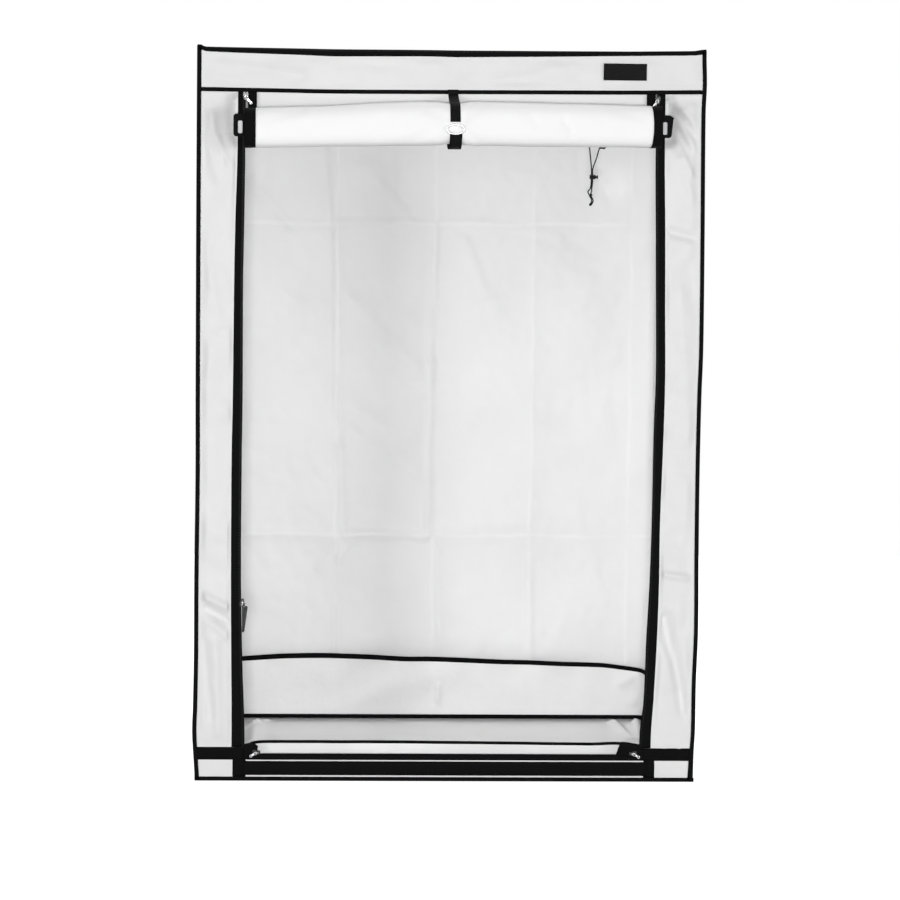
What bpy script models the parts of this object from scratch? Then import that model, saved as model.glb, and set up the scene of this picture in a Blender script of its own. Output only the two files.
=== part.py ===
# Indoor grow tent: a pole frame under white cloth walls, with a front door that is rolled up
# and strapped. Metres, +Z up, +X to the right of someone who faces the door, +Y into the tent.
# The origin is the centre of the floor, on the ground.
import math

import bmesh
import bpy
from mathutils import Matrix, Vector

# Tent
TENT_WIDTH = 1.22
TENT_DEPTH = 0.92
TENT_HEIGHT = 1.775

# Cloth and sewing
SEAT_GAP = 0.0003  # between pieces that touch
CLOTH = 0.0015
TAPE = 0.001  # tapes that lie on the cloth
BINDING_WIDTH = 0.009
HEADER_DROP = 0.104  # from the top of the tent to the header's lower edge
SILL_HEIGHT = 0.064
SILL_BAND_WIDTH = 0.0346
SILL_BAND_HEIGHT = 0.0138  # from the ground to the band's lower edge

# Frame
POLE_RADIUS = 0.008
POLE_WALL = 0.001
COLLAR_RADIUS = 0.0115
COLLAR_LENGTH = 0.03  # from the corner's centre to the pole's end
SPIGOT_LENGTH = 0.035
HOOK_WALL = 0.0025
HOOK_WIDTH = 0.02
HOOK_LIP = math.radians(-10)  # where the hook's outer lip ends, from level
BAR_FRONT_Y = -0.17
BAR_BACK_Y = 0.24

# Zips
OPENING_WIDTH = 0.99
ZIP_TAPE_WIDTH = 0.022
STRIP_OVERLAP = 0.007  # how far a side strip lies under its zip tape
TEETH_WIDTH = 0.004
TEETH_DEPTH = 0.0035
TEETH_PROUD = 0.0005
DOOR_GAP = 0.006  # between the frame's row of teeth and the door's
SILL_ZIP_BOTTOM = 0.0535
SILL_ZIP_TOP = 0.067
SILL_ZIP_CORNER_TOP = 0.0825

# Zip sliders
SLIDER_WIDTH = 0.018
SLIDER_HEIGHT = 0.018
SLIDER_NECK_WIDTH = 0.012
SLIDER_SHOULDER = 0.008  # from the slider's top to where it narrows
SLIDER_PLATE = 0.0015
SLIDER_CLEARANCE = 0.0004
SLIDER_POST = 0.0035
ARCH_WIDTH = 0.003
ARCH_LENGTH = 0.009
ARCH_WALL = 0.0008
WIRE_RADIUS = 0.0008
PULL_LENGTH = 0.026
PULL_WIDTH = 0.005
PULL_THICK = 0.0012
PULL_LEAN = math.radians(50)  # from straight down
TOP_SLIDER_DROP = 0.011  # from the header's lower edge to a top slider's centre
LOW_SLIDER_HEIGHT = 0.437
SILL_SLIDER_OFFSET = 0.032  # from the zip line to a sill slider's centre
RING_WIDTH = 0.0104  # between the centres of the pull ring's sides
RING_LENGTH = 0.0104
TAB_LENGTH = 0.063
TAB_WIDTH = 0.014
TAB_THICK = 0.0022

# Door, rolled up
ROLL_RADIUS = 0.05
ROLL_CORE_RADIUS = 0.012
ROLL_CLOTH = 0.002
ROLL_STEP = 0.015  # along the cloth, between two points of the spiral
ROLL_WIDTH = 0.994
ROLL_STANDOFF = 0.01  # from the front of the tent to the back of the roll
ROLL_DROP = 0.178  # from the top of the tent to the roll's axis
ROLL_END_TAPE = 0.0275
WEB_FLAT = 0.026  # how far the door hangs flat below the header
ROLL_STATION_SHARES = (-1.0, -0.22, -0.07, 0.07, 0.22, 1.0)  # of half the white part's width
ROLL_RADIUS_SHARES = (0.95, 1.05, 0.97, 0.97, 1.05, 1.0)  # of the roll's radius at each station

# Straps of the rolled door
STRAP_WIDTH = 0.025
STRAP_THICK = 0.0015
STRAP_SLACK = 0.0006  # between a strap and the roll
STRAP_LAP = 0.019  # how far the back strap reaches up inside the header
STRAP_STEP_ANGLE = math.radians(15)
RING_WIRE_RADIUS = 0.002
OVAL_WIDTH = 0.043
OVAL_HEIGHT = 0.026
OVAL_DROP = 0.0115  # from the roll's axis to the ring's centre

# Webbing loops at the roll's ends
LOOP_WIDTH = 0.0255
LOOP_HEIGHT = 0.054
LOOP_DEPTH = 0.01
LOOP_ROOT = 0.003
LOOP_HOLE_WIDTH = 0.012
LOOP_HOLE_HEIGHT = 0.034
LOOP_CORNER = 0.008
LOOP_HOLE_CORNER = 0.003

# Floor tray
TRAY_WIDTH = 1.15
TRAY_DEPTH = 0.84
TRAY_WALL = 0.002
TRAY_BACK_HEIGHT = 0.165
TRAY_FRONT_HEIGHT = 0.092
TRAY_SLOPE_LENGTH = 0.09

# Duct sleeves
DUCT_RADIUS = 0.075
SLEEVE_FLANGE = 0.015
SLEEVE_CLOTH = 0.0012
SLEEVE_HEM_RADIUS = 0.058
ROOF_SLEEVE_LENGTH = 0.168
ROOF_SLEEVE_X = 0.389
ROOF_SLEEVE_Y = 0.05
WALL_SLEEVE_LENGTH = 0.055
WALL_SLEEVE_Y = 0.24
WALL_SLEEVE_Z = 1.43
SLEEVE_DEPTH_SHARES = (0.0, 0.0, 0.18, 0.7, 1.0)  # of the sleeve's length
SLEEVE_TAPER_SHARES = (0.0, 0.0, 0.1, 0.55, 1.0)  # of the way from duct radius to hem radius

# Vent
VENT_WIDTH = 0.3
VENT_HEIGHT = 0.14
VENT_SILL = 0.22
VENT_MARGIN = 0.015
NET_MARGIN = 0.012

# Drawcord of the roof sleeve, with its lock
CORD_RADIUS = 0.00125
CORD_SPACING = 0.0075
CORD_SPLAY = 0.031  # from the cord's middle to either exit at the hem
CORD_MIDDLE_X = 0.3773
CORD_PAIR = 0.0042  # between the two strands in the lock
LOCK_HEIGHT = 1.466
LOCK_RADIUS = 0.0055
LOCK_LENGTH = 0.015
LOCK_HOLE_CLEARANCE = 0.0003
LOCK_END_WALL = 0.0023
BUTTON_RADIUS = 0.003
BUTTON_CLEARANCE = 0.0003
BUTTON_REACH = 0.0021  # of the stem, inside the lock
BUTTON_TRAVEL = 0.0025
BUTTON_HEAD_RADIUS = 0.0045
BUTTON_HEAD = 0.003
PAIR_TOP = 0.023  # strands run side by side this far above the lock's centre
PAIR_BOTTOM = 0.036  # and this far below it
CORD_LOOP_RADIUS = 0.0055
CORD_LOOP_DROP = 0.062  # from the lock's centre to the centre of the loop's bend
CORD_LEAD = 0.0075  # straight run below the hem
CORD_SPREAD_SHARES = (0.75, 0.5, 0.25, 0.0)  # of the height from the pair's top to the lead
CORD_PAIR_SHARES = (0.33, 0.67, 1.0)  # of the pair's length, from its top

# Counts and the merge distance of doubled points
MERGE_DISTANCE = 0.000001
POLE_SIDES = 16
COLLAR_SIDES = 12
DUCT_SIDES = 28
SMALL_SIDES = 16
CORNER_STEPS = 4
HOOK_STEPS = 14
OVAL_STEPS = 24

# Places that follow from the sizes above
half_width = TENT_WIDTH / 2
half_depth = TENT_DEPTH / 2
face_x = half_width - TAPE - SEAT_GAP  # outer faces of the cloth
face_y = half_depth - TAPE - SEAT_GAP
face_z = TENT_HEIGHT - TAPE - SEAT_GAP
inner_x = face_x - CLOTH
inner_y = face_y - CLOTH
inner_z = face_z - CLOTH
wall_bottom = CLOTH + SEAT_GAP
wall_top = inner_z - SEAT_GAP
pole_x = inner_x - SEAT_GAP - COLLAR_RADIUS
pole_y = inner_y - SEAT_GAP - COLLAR_RADIUS
pole_low = wall_bottom + COLLAR_RADIUS
pole_high = inner_z - SEAT_GAP - COLLAR_RADIUS
header_low = TENT_HEIGHT - HEADER_DROP
opening_x = OPENING_WIDTH / 2
zip_outer_x = opening_x + ZIP_TAPE_WIDTH
strip_inner_x = zip_outer_x - STRIP_OVERLAP
zip_line = opening_x - DOOR_GAP / 2
door_x = opening_x - DOOR_GAP
teeth_y = -half_depth - TEETH_PROUD + TEETH_DEPTH / 2
slider_depth = TEETH_DEPTH + 2 * (SLIDER_CLEARANCE + SLIDER_PLATE)
pull_standoff = max(WIRE_RADIUS, TAB_THICK / 2) + SEAT_GAP  # from the slider's face to the pull's hinge
roll_y = -half_depth - ROLL_STANDOFF - ROLL_RADIUS
roll_z = TENT_HEIGHT - ROLL_DROP
roll_white_x = ROLL_WIDTH / 2 - ROLL_END_TAPE
web_y = -face_y + CLOTH / 2
roof_hem_z = inner_z - SEAT_GAP - SLEEVE_CLOTH - ROOF_SLEEVE_LENGTH


def clear_scene():
    for obj in list(bpy.data.objects):
        bpy.data.objects.remove(obj, do_unlink=True)


def new_collection(name):
    collection = bpy.data.collections.new(name)
    bpy.context.scene.collection.children.link(collection)
    return collection


def new_material(name, color, roughness, metallic=0.0):
    material = bpy.data.materials.new(name)
    material.use_nodes = True
    shader = material.node_tree.nodes["Principled BSDF"]
    shader.inputs["Base Color"].default_value = (*color, 1.0)
    shader.inputs["Roughness"].default_value = roughness
    shader.inputs["Metallic"].default_value = metallic
    material.diffuse_color = (*color, 1.0)
    return material


FINISHES = {
    "white": ((0.9, 0.9, 0.9), 0.55, 0.0),
    "black": ((0.012, 0.012, 0.013), 0.7, 0.0),
    "steel": ((0.75, 0.76, 0.78), 0.3, 1.0),
    "painted": ((0.82, 0.82, 0.83), 0.4, 0.0),
    "plastic": ((0.02, 0.02, 0.022), 0.5, 0.0),
    "net": ((0.05, 0.05, 0.055), 0.8, 0.0),
}


def finish_object(obj, finish, collection, location=(0, 0, 0), rotation=(0, 0, 0)):
    """Places an object in a collection and gives it a material of its own."""
    color, roughness, metallic = FINISHES[finish]
    obj.location = location
    obj.rotation_euler = rotation
    obj.data.materials.clear()
    obj.data.materials.append(new_material(obj.name, color, roughness, metallic))
    collection.objects.link(obj)
    return obj


def mesh_from_bmesh(name, bm):
    mesh = bpy.data.meshes.new(name)
    bm.to_mesh(mesh)
    bm.free()
    return mesh


def make_cutter(obj):
    obj.hide_render = True
    obj.display_type = "WIRE"


def box(name, low, high, finish="white", collection=None):
    """A box between two corners, with its origin at its centre."""
    low, high = Vector(low), Vector(high)
    bm = bmesh.new()
    bmesh.ops.create_cube(bm, size=1.0)
    bmesh.ops.scale(bm, vec=high - low, verts=bm.verts)
    obj = bpy.data.objects.new(name, mesh_from_bmesh(name, bm))
    return finish_object(obj, finish, collection or tent, (low + high) / 2)


def cutter_box(name, low, high):
    obj = box(name, low, high, collection=cutters)
    make_cutter(obj)
    return obj


def combine(obj, other, operation="DIFFERENCE"):
    modifier = obj.modifiers.new(other.name, "BOOLEAN")
    modifier.operation = operation
    modifier.solver = "EXACT"
    modifier.object = other


def turned(name, profile, sides, finish, closed=False, thickness=0.0, collection=None,
           location=(0, 0, 0), rotation=(0, 0, 0)):
    """A profile of (radius, height) points turned about Z. It runs down its outer side."""
    bm = bmesh.new()
    verts = [bm.verts.new((radius, 0, height)) for radius, height in profile]
    for first, second in zip(verts, verts[1:]):
        bm.edges.new((first, second))
    if closed:
        bm.edges.new((verts[-1], verts[0]))
    obj = bpy.data.objects.new(name, mesh_from_bmesh(name, bm))
    screw = obj.modifiers.new("Turn", "SCREW")
    screw.axis = "Z"
    screw.angle = 2 * math.pi
    screw.steps = screw.render_steps = sides
    screw.use_merge_vertices = True
    screw.merge_threshold = MERGE_DISTANCE
    screw.use_smooth_shade = True
    if thickness:
        wall = obj.modifiers.new("Wall", "SOLIDIFY")
        wall.thickness = thickness
        wall.offset = 0.0
        wall.use_even_offset = True
    return finish_object(obj, finish, collection or tent, location, rotation)


def rod(name, radius, low, high, sides, finish="white", collection=None, location=(0, 0, 0),
        rotation=(0, 0, 0)):
    """A solid cylinder along its own Z, from low to high."""
    profile = [(0.0, high), (radius, high), (radius, low), (0.0, low)]
    return turned(name, profile, sides, finish, collection=collection, location=location,
                  rotation=rotation)


def baked_mesh(obj):
    """The mesh that an object's modifiers make, with the caps of a curve welded to its sides."""
    bpy.context.view_layer.update()
    evaluated = obj.evaluated_get(bpy.context.evaluated_depsgraph_get())
    mesh = bpy.data.meshes.new_from_object(evaluated)
    bm = bmesh.new()
    bm.from_mesh(mesh)
    bmesh.ops.remove_doubles(bm, verts=bm.verts, dist=MERGE_DISTANCE)
    bm.to_mesh(mesh)
    bm.free()
    return mesh


def plate(name, outlines, thickness, finish, collection=None, location=(0, 0, 0),
          rotation=(0, 0, 0)):
    """A flat outline, with any holes as further outlines, thick to both sides of its plane."""
    curve = bpy.data.curves.new(name, "CURVE")
    curve.dimensions = "2D"
    curve.fill_mode = "BOTH"
    curve.extrude = thickness / 2
    for outline in outlines:
        spline = curve.splines.new("POLY")
        spline.points.add(len(outline) - 1)
        for point, (x, y) in zip(spline.points, outline):
            point.co = (x, y, 0, 1)
        spline.use_cyclic_u = True
    flat = bpy.data.objects.new(name + "_outline", curve)
    (collection or tent).objects.link(flat)
    obj = bpy.data.objects.new(name, baked_mesh(flat))
    bpy.data.objects.remove(flat, do_unlink=True)
    return finish_object(obj, finish, collection or tent, location, rotation)


def rounded_rectangle(low_x, high_x, low_y, high_y, corner):
    points = []
    centres = (
        (high_x - corner, high_y - corner, 0), (low_x + corner, high_y - corner, 90),
        (low_x + corner, low_y + corner, 180), (high_x - corner, low_y + corner, 270),
    )
    for centre_x, centre_y, start in centres:
        for step in range(CORNER_STEPS + 1):
            angle = math.radians(start + 90 * step / CORNER_STEPS)
            points.append((centre_x + corner * math.cos(angle), centre_y + corner * math.sin(angle)))
    return points


def oval(half_x, half_y, count):
    """A flat-sided ring shape: two straight runs joined by half circles."""
    run = half_x - half_y
    points = []
    for index in range(count):
        angle = 2 * math.pi * index / count
        shift = run if math.cos(angle) >= 0 else -run
        points.append((shift + half_y * math.cos(angle), half_y * math.sin(angle)))
    return points


def wire(name, points, radius, resolution, finish, cyclic=False, collection=None):
    """A round wire or cord along points."""
    curve = bpy.data.curves.new(name, "CURVE")
    curve.dimensions = "3D"
    curve.bevel_depth = radius
    curve.bevel_resolution = resolution
    curve.use_fill_caps = True
    spline = curve.splines.new("POLY")
    spline.points.add(len(points) - 1)
    for point, place in zip(spline.points, points):
        point.co = (*place, 1)
    spline.use_cyclic_u = cyclic
    obj = bpy.data.objects.new(name, curve)
    return finish_object(obj, finish, collection or tent)


def cloth_strip(name, path, low_x, high_x, thickness, finish, origin):
    """Cloth that follows a path of (y, z) points and is straight across the tent."""
    bm = bmesh.new()
    verts = [bm.verts.new((low_x, y, z)) for y, z in path]
    edges = [bm.edges.new(pair) for pair in zip(verts, verts[1:])]
    made = bmesh.ops.extrude_edge_only(bm, edges=edges)["geom"]
    far = [item for item in made if isinstance(item, bmesh.types.BMVert)]
    bmesh.ops.translate(bm, verts=far, vec=(high_x - low_x, 0, 0))
    bmesh.ops.translate(bm, verts=bm.verts, vec=-Vector(origin))
    obj = bpy.data.objects.new(name, mesh_from_bmesh(name, bm))
    wall = obj.modifiers.new("Cloth", "SOLIDIFY")
    wall.thickness = thickness
    wall.offset = 0.0
    wall.use_even_offset = True
    return finish_object(obj, finish, tent, origin)


def smooth_route(route, spacing):
    """Even points along a smooth curve through a route's own points."""
    ends = [2 * route[0] - route[1]] + route + [2 * route[-1] - route[-2]]
    fine = []
    for before, first, second, after in zip(ends, ends[1:], ends[2:], ends[3:]):
        for step in range(20):
            t = step / 20
            fine.append(0.5 * (2 * first + (second - before) * t
                               + (2 * before - 5 * first + 4 * second - after) * t * t
                               + (3 * first - before - 3 * second + after) * t * t * t))
    fine.append(route[-1])
    lengths = [0.0]
    for first, second in zip(fine, fine[1:]):
        lengths.append(lengths[-1] + (second - first).length)
    count = max(2, round(lengths[-1] / spacing))
    points, index = [], 0
    for step in range(count + 1):
        wanted = lengths[-1] * step / count
        while index < len(lengths) - 2 and lengths[index + 1] < wanted:
            index += 1
        share = (wanted - lengths[index]) / max(lengths[index + 1] - lengths[index], MERGE_DISTANCE)
        points.append(fine[index].lerp(fine[index + 1], min(1.0, share)))
    return points


def build_frame():
    """Corner connectors, poles and the two bars that lamps hang from."""
    profile = [
        (0.0, COLLAR_LENGTH + SPIGOT_LENGTH), (POLE_RADIUS - POLE_WALL - SEAT_GAP,
                                               COLLAR_LENGTH + SPIGOT_LENGTH),
        (POLE_RADIUS - POLE_WALL - SEAT_GAP, COLLAR_LENGTH), (COLLAR_RADIUS, COLLAR_LENGTH),
        (COLLAR_RADIUS, 0.0), (0.0, -COLLAR_RADIUS),
    ]
    arm = turned("corner_arm", profile, COLLAR_SIDES, "plastic", collection=cutters)
    make_cutter(arm)
    turns = {"x": (0, math.pi / 2, 0), "y": (-math.pi / 2, 0, 0)}
    for axis, turn in turns.items():
        other = bpy.data.objects.new("corner_arm_" + axis, arm.data)
        other.rotation_euler = turn
        cutters.objects.link(other)
        make_cutter(other)
        for modifier in arm.modifiers:
            copy = other.modifiers.new(modifier.name, modifier.type)
            for name in ("axis", "angle", "steps", "render_steps", "use_merge_vertices",
                         "merge_threshold"):
                setattr(copy, name, getattr(modifier, name))
    combine(arm, bpy.data.objects["corner_arm_x"], "UNION")
    combine(arm, bpy.data.objects["corner_arm_y"], "UNION")
    corner_mesh = baked_mesh(arm)
    for level, side_z, flip in (("bottom", pole_low, 0.0), ("top", pole_high, math.pi)):
        for place, x, y, turn in (("front_left", -pole_x, -pole_y, 0), ("front_right", pole_x, -pole_y, 1),
                                  ("back_right", pole_x, pole_y, 2), ("back_left", -pole_x, pole_y, 3)):
            name = f"corner_{level}_{place}"
            obj = bpy.data.objects.new(name, corner_mesh.copy())
            turning = turn * math.pi / 2 + (math.pi / 2 if flip else 0.0)
            finish_object(obj, "plastic", tent, (x, y, side_z), (flip, 0, turning))

    lengths = {
        "across": (2 * (pole_x - COLLAR_LENGTH - SEAT_GAP), (0, math.pi / 2, 0)),
        "deep": (2 * (pole_y - COLLAR_LENGTH - SEAT_GAP), (math.pi / 2, 0, 0)),
        "upright": (pole_high - pole_low - 2 * (COLLAR_LENGTH + SEAT_GAP), (0, 0, 0)),
    }
    mid_z = (pole_low + pole_high) / 2
    places = []
    for level, z in (("bottom", pole_low), ("top", pole_high)):
        places.append((f"pole_{level}_front", "across", (0, -pole_y, z)))
        places.append((f"pole_{level}_back", "across", (0, pole_y, z)))
        places.append((f"pole_{level}_left", "deep", (-pole_x, 0, z)))
        places.append((f"pole_{level}_right", "deep", (pole_x, 0, z)))
    for side, x in (("left", -pole_x), ("right", pole_x)):
        for end, y in (("front", -pole_y), ("back", pole_y)):
            places.append((f"upright_{end}_{side}", "upright", (x, y, mid_z)))
    for name, kind, centre in places:
        length, turn = lengths[kind]
        bore = POLE_RADIUS - POLE_WALL
        outline = [(bore, length / 2), (POLE_RADIUS, length / 2), (POLE_RADIUS, -length / 2),
                   (bore, -length / 2)]
        turned(name, outline, POLE_SIDES, "painted", closed=True, location=centre, rotation=turn)
    build_hanging_bar("hanging_bar_front", BAR_FRONT_Y)
    build_hanging_bar("hanging_bar_back", BAR_BACK_Y)


def hook_outline(side):
    """A C round a side pole, open below on the side away from the bar."""
    bore = POLE_RADIUS + SEAT_GAP
    points = []
    for radius, steps in ((bore + HOOK_WALL, range(HOOK_STEPS + 1)), (bore, range(HOOK_STEPS, -1, -1))):
        for step in steps:
            angle = HOOK_LIP + (1.5 * math.pi - HOOK_LIP) * step / HOOK_STEPS
            points.append((side * radius * math.cos(angle), radius * math.sin(angle)))
    return points


def build_hanging_bar(name, bar_y):
    """A tube with a hook at each end that lies over a side pole and slides along it."""
    reach = pole_x - POLE_RADIUS - SEAT_GAP - HOOK_WALL / 2
    along_x = (0, math.pi / 2, 0)
    centre = (0, bar_y, pole_high)
    bar = rod(name, POLE_RADIUS, -reach, reach, POLE_SIDES, "painted", location=centre, rotation=along_x)
    for side, sign in (("left", -1), ("right", 1)):
        hook = plate(f"{name}_hook_{side}", [hook_outline(sign)], HOOK_WIDTH, "painted", collection=cutters,
                     location=(sign * pole_x, bar_y, pole_high), rotation=(math.pi / 2, 0, 0))
        make_cutter(hook)
        combine(bar, hook, "UNION")
    bore = rod(f"{name}_bore", POLE_RADIUS - POLE_WALL, -pole_x, pole_x, POLE_SIDES, collection=cutters,
               location=centre, rotation=along_x)
    make_cutter(bore)
    combine(bar, bore)


def build_walls():
    """The sewn cloth cover: roof, floor, walls and the pieces round the door."""
    box("floor_sheet", (-face_x, -face_y, 0), (face_x, face_y, CLOTH))
    roof = box("roof_panel", (-face_x, -face_y, inner_z), (face_x, face_y, face_z))
    roof_hole = rod("roof_hole", DUCT_RADIUS, -CLOTH, CLOTH, DUCT_SIDES, collection=cutters,
                    location=(ROOF_SLEEVE_X, ROOF_SLEEVE_Y, inner_z + CLOTH / 2))
    make_cutter(roof_hole)
    combine(roof, roof_hole)
    box("back_wall", (-face_x, inner_y, wall_bottom), (face_x, face_y, wall_top))

    side_y = inner_y - SEAT_GAP
    left = box("left_wall", (-face_x, -side_y, wall_bottom), (-inner_x, side_y, wall_top))
    vent_hole = cutter_box("vent_hole", (-face_x - CLOTH, -VENT_WIDTH / 2, VENT_SILL),
                           (-inner_x + CLOTH, VENT_WIDTH / 2, VENT_SILL + VENT_HEIGHT))
    combine(left, vent_hole)
    right = box("right_wall", (inner_x, -side_y, wall_bottom), (face_x, side_y, wall_top))
    duct_hole = rod("wall_hole", DUCT_RADIUS, -CLOTH, CLOTH, DUCT_SIDES, collection=cutters,
                    location=(inner_x + CLOTH / 2, WALL_SLEEVE_Y, WALL_SLEEVE_Z),
                    rotation=(0, math.pi / 2, 0))
    make_cutter(duct_hole)
    combine(right, duct_hole)

    box("header_panel", (-face_x, -face_y, header_low), (face_x, -inner_y, wall_top))
    strip_low = SILL_HEIGHT + SEAT_GAP
    strip_high = header_low - SEAT_GAP
    box("front_left_panel", (-face_x, -face_y, strip_low), (-strip_inner_x, -inner_y, strip_high))
    box("front_right_panel", (strip_inner_x, -face_y, strip_low), (face_x, -inner_y, strip_high))
    box("sill_panel", (-face_x, -face_y, wall_bottom), (face_x, -inner_y, SILL_HEIGHT))


def build_bindings():
    """Black tape over the tent's twelve edges, and the tapes of the header and the sill."""
    cage = box("edge_binding", (-half_width, -half_depth, 0), (half_width, half_depth, TENT_HEIGHT),
               "black")
    core_x, core_y = half_width - TAPE, half_depth - TAPE
    core = cutter_box("binding_core", (-core_x, -core_y, -TAPE), (core_x, core_y, TENT_HEIGHT - TAPE))
    combine(cage, core)
    window_x, window_y = half_width - BINDING_WIDTH, half_depth - BINDING_WIDTH
    window_high = TENT_HEIGHT - BINDING_WIDTH
    windows = (
        ("front", (-window_x, -TENT_DEPTH, BINDING_WIDTH), (window_x, TENT_DEPTH, window_high)),
        ("side", (-TENT_WIDTH, -window_y, BINDING_WIDTH), (TENT_WIDTH, window_y, window_high)),
        ("top", (-window_x, -window_y, BINDING_WIDTH), (window_x, window_y, 2 * TENT_HEIGHT)),
    )
    for name, low, high in windows:
        combine(cage, cutter_box("binding_window_" + name, low, high))

    inside = window_x - SEAT_GAP
    box("header_binding", (-inside, -half_depth, header_low),
        (inside, -half_depth + TAPE, header_low + BINDING_WIDTH), "black")
    band_x = opening_x - SEAT_GAP
    box("sill_band", (-band_x, -half_depth, SILL_BAND_HEIGHT),
        (band_x, -half_depth + TAPE, SILL_BAND_HEIGHT + SILL_BAND_WIDTH), "black")


def build_zip_tapes():
    """The frame's half of the door zip: two upright tapes and one along the sill."""
    low = SILL_ZIP_CORNER_TOP + SEAT_GAP
    high = header_low - SEAT_GAP
    teeth_front = -half_depth - TEETH_PROUD
    teeth_back = teeth_front + TEETH_DEPTH
    tape_back = -half_depth + TAPE
    section = [
        (zip_outer_x, -half_depth), (zip_outer_x, tape_back), (opening_x + TEETH_WIDTH, tape_back),
        (opening_x + TEETH_WIDTH, teeth_back), (opening_x, teeth_back), (opening_x, teeth_front),
        (opening_x + TEETH_WIDTH, teeth_front), (opening_x + TEETH_WIDTH, -half_depth),
    ]
    for side, sign in (("left", -1), ("right", 1)):
        outline = [(sign * x, y) for x, y in section]
        plate("zip_tape_" + side, [outline], high - low, "black", location=(0, 0, (low + high) / 2))

    end_x = half_width - BINDING_WIDTH - SEAT_GAP
    leg_low = BINDING_WIDTH + SEAT_GAP
    right = [
        (opening_x, SILL_ZIP_BOTTOM), (opening_x, leg_low), (zip_outer_x, leg_low),
        (zip_outer_x, SILL_ZIP_BOTTOM), (end_x, SILL_ZIP_BOTTOM), (end_x, SILL_ZIP_CORNER_TOP),
        (opening_x, SILL_ZIP_CORNER_TOP), (opening_x, SILL_ZIP_TOP),
    ]
    outline = right + [(-x, z) for x, z in reversed(right)]
    plate("zip_tape_sill", [outline], TAPE, "black", location=(0, -half_depth + TAPE / 2, 0),
          rotation=(math.pi / 2, 0, 0))


def slider_body(name, location, turn, pull_side=0):
    """A zip slider: two plates joined by a post, and an arch in front for the pull.

    Its own X is across the zip and its own Z along it. A pull that lies still is joined on.
    """
    half, neck = SLIDER_WIDTH / 2, SLIDER_NECK_WIDTH / 2
    top = SLIDER_HEIGHT / 2
    shoulder = top - SLIDER_SHOULDER
    outline = [(-half, top), (-half, shoulder), (-neck, -top), (neck, -top), (half, shoulder), (half, top)]
    body = plate(name, [outline], slider_depth, "steel", location=location,
                 rotation=(math.pi / 2, turn, 0))
    frame = Matrix.Translation(location) @ body.rotation_euler.to_matrix().to_4x4()

    def add(piece, operation):
        piece.matrix_world = frame @ piece.matrix_basis
        make_cutter(piece)
        combine(body, piece, operation)

    channel = TEETH_DEPTH / 2 + SLIDER_CLEARANCE
    for side, sign in (("left", -1), ("right", 1)):
        low_x, high_x = sorted((sign * SLIDER_POST / 2, sign * SLIDER_WIDTH))
        cut = box(f"{name}_channel_{side}", (low_x, -SLIDER_HEIGHT, -channel),
                  (high_x, SLIDER_HEIGHT, channel), collection=cutters)
        add(cut, "DIFFERENCE")

    front = slider_depth / 2
    rise = pull_standoff + WIRE_RADIUS + SEAT_GAP
    sunk = SLIDER_PLATE / 2
    arch = box(f"{name}_arch", (-ARCH_WIDTH / 2, -ARCH_LENGTH / 2, front - sunk),
               (ARCH_WIDTH / 2, ARCH_LENGTH / 2, front + rise + ARCH_WALL), collection=cutters)
    add(arch, "UNION")
    eye = box(f"{name}_eye", (-SLIDER_WIDTH, -ARCH_LENGTH / 2 + ARCH_WALL, front),
              (SLIDER_WIDTH, ARCH_LENGTH / 2 - ARCH_WALL, front + rise), collection=cutters)
    add(eye, "DIFFERENCE")
    if pull_side:
        pull = box(f"{name}_pull", (-PULL_WIDTH / 2, -PULL_LENGTH, -PULL_THICK / 2),
                   (PULL_WIDTH / 2, 0, PULL_THICK / 2), collection=cutters)
        lean = Matrix.Rotation(pull_side * PULL_LEAN, 4, "Z")
        seat = Matrix.Translation((0, -ARCH_LENGTH / 2 + ARCH_WALL / 2, front + rise + ARCH_WALL / 2))
        pull.matrix_basis = seat @ lean @ pull.matrix_basis
        add(pull, "UNION")
    return body


def build_sliders():
    """Zip sliders: one at the top of each upright zip, a low one with a tab, two on the sill."""
    top_z = header_low - TOP_SLIDER_DROP
    slider_body("slider_top_left", (-zip_line, teeth_y, top_z), 0.0, pull_side=1)
    slider_body("slider_top_right", (zip_line, teeth_y, top_z), 0.0, pull_side=-1)
    slider_body("slider_low_left", (-zip_line, teeth_y, LOW_SLIDER_HEIGHT), 0.0)
    build_low_pull()
    sill_z = SILL_ZIP_TOP + SLIDER_POST / 2 + SEAT_GAP
    sill_x = zip_line - SILL_SLIDER_OFFSET
    slider_body("slider_sill_left", (-sill_x, teeth_y, sill_z), math.pi / 2)
    slider_body("slider_sill_right", (sill_x, teeth_y, sill_z), -math.pi / 2)


def build_low_pull():
    """A wire ring through the low slider's arch, and the webbing tab that hangs on it."""
    origin = (-zip_line, teeth_y - slider_depth / 2 - pull_standoff, LOW_SLIDER_HEIGHT)
    tab_top = -RING_LENGTH + TAB_THICK
    tab = box("pull_low_left", (-TAB_WIDTH / 2, -TAB_THICK / 2, tab_top - TAB_LENGTH),
              (TAB_WIDTH / 2, TAB_THICK / 2, tab_top), "black")
    tab.data.transform(Matrix.Translation(tab.location))
    tab.location = origin
    corner = RING_WIDTH / 4
    loop = rounded_rectangle(-RING_WIDTH / 2, RING_WIDTH / 2, -RING_LENGTH, 0, corner)
    ring = wire("pull_low_ring", [(x, 0, z) for x, z in loop], WIRE_RADIUS, 1, "steel", cyclic=True,
                collection=cutters)
    solid = bpy.data.objects.new("pull_low_ring_solid", baked_mesh(ring))
    solid.location = origin
    cutters.objects.link(solid)
    bpy.data.objects.remove(ring, do_unlink=True)
    make_cutter(solid)
    combine(tab, solid, "UNION")


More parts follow.
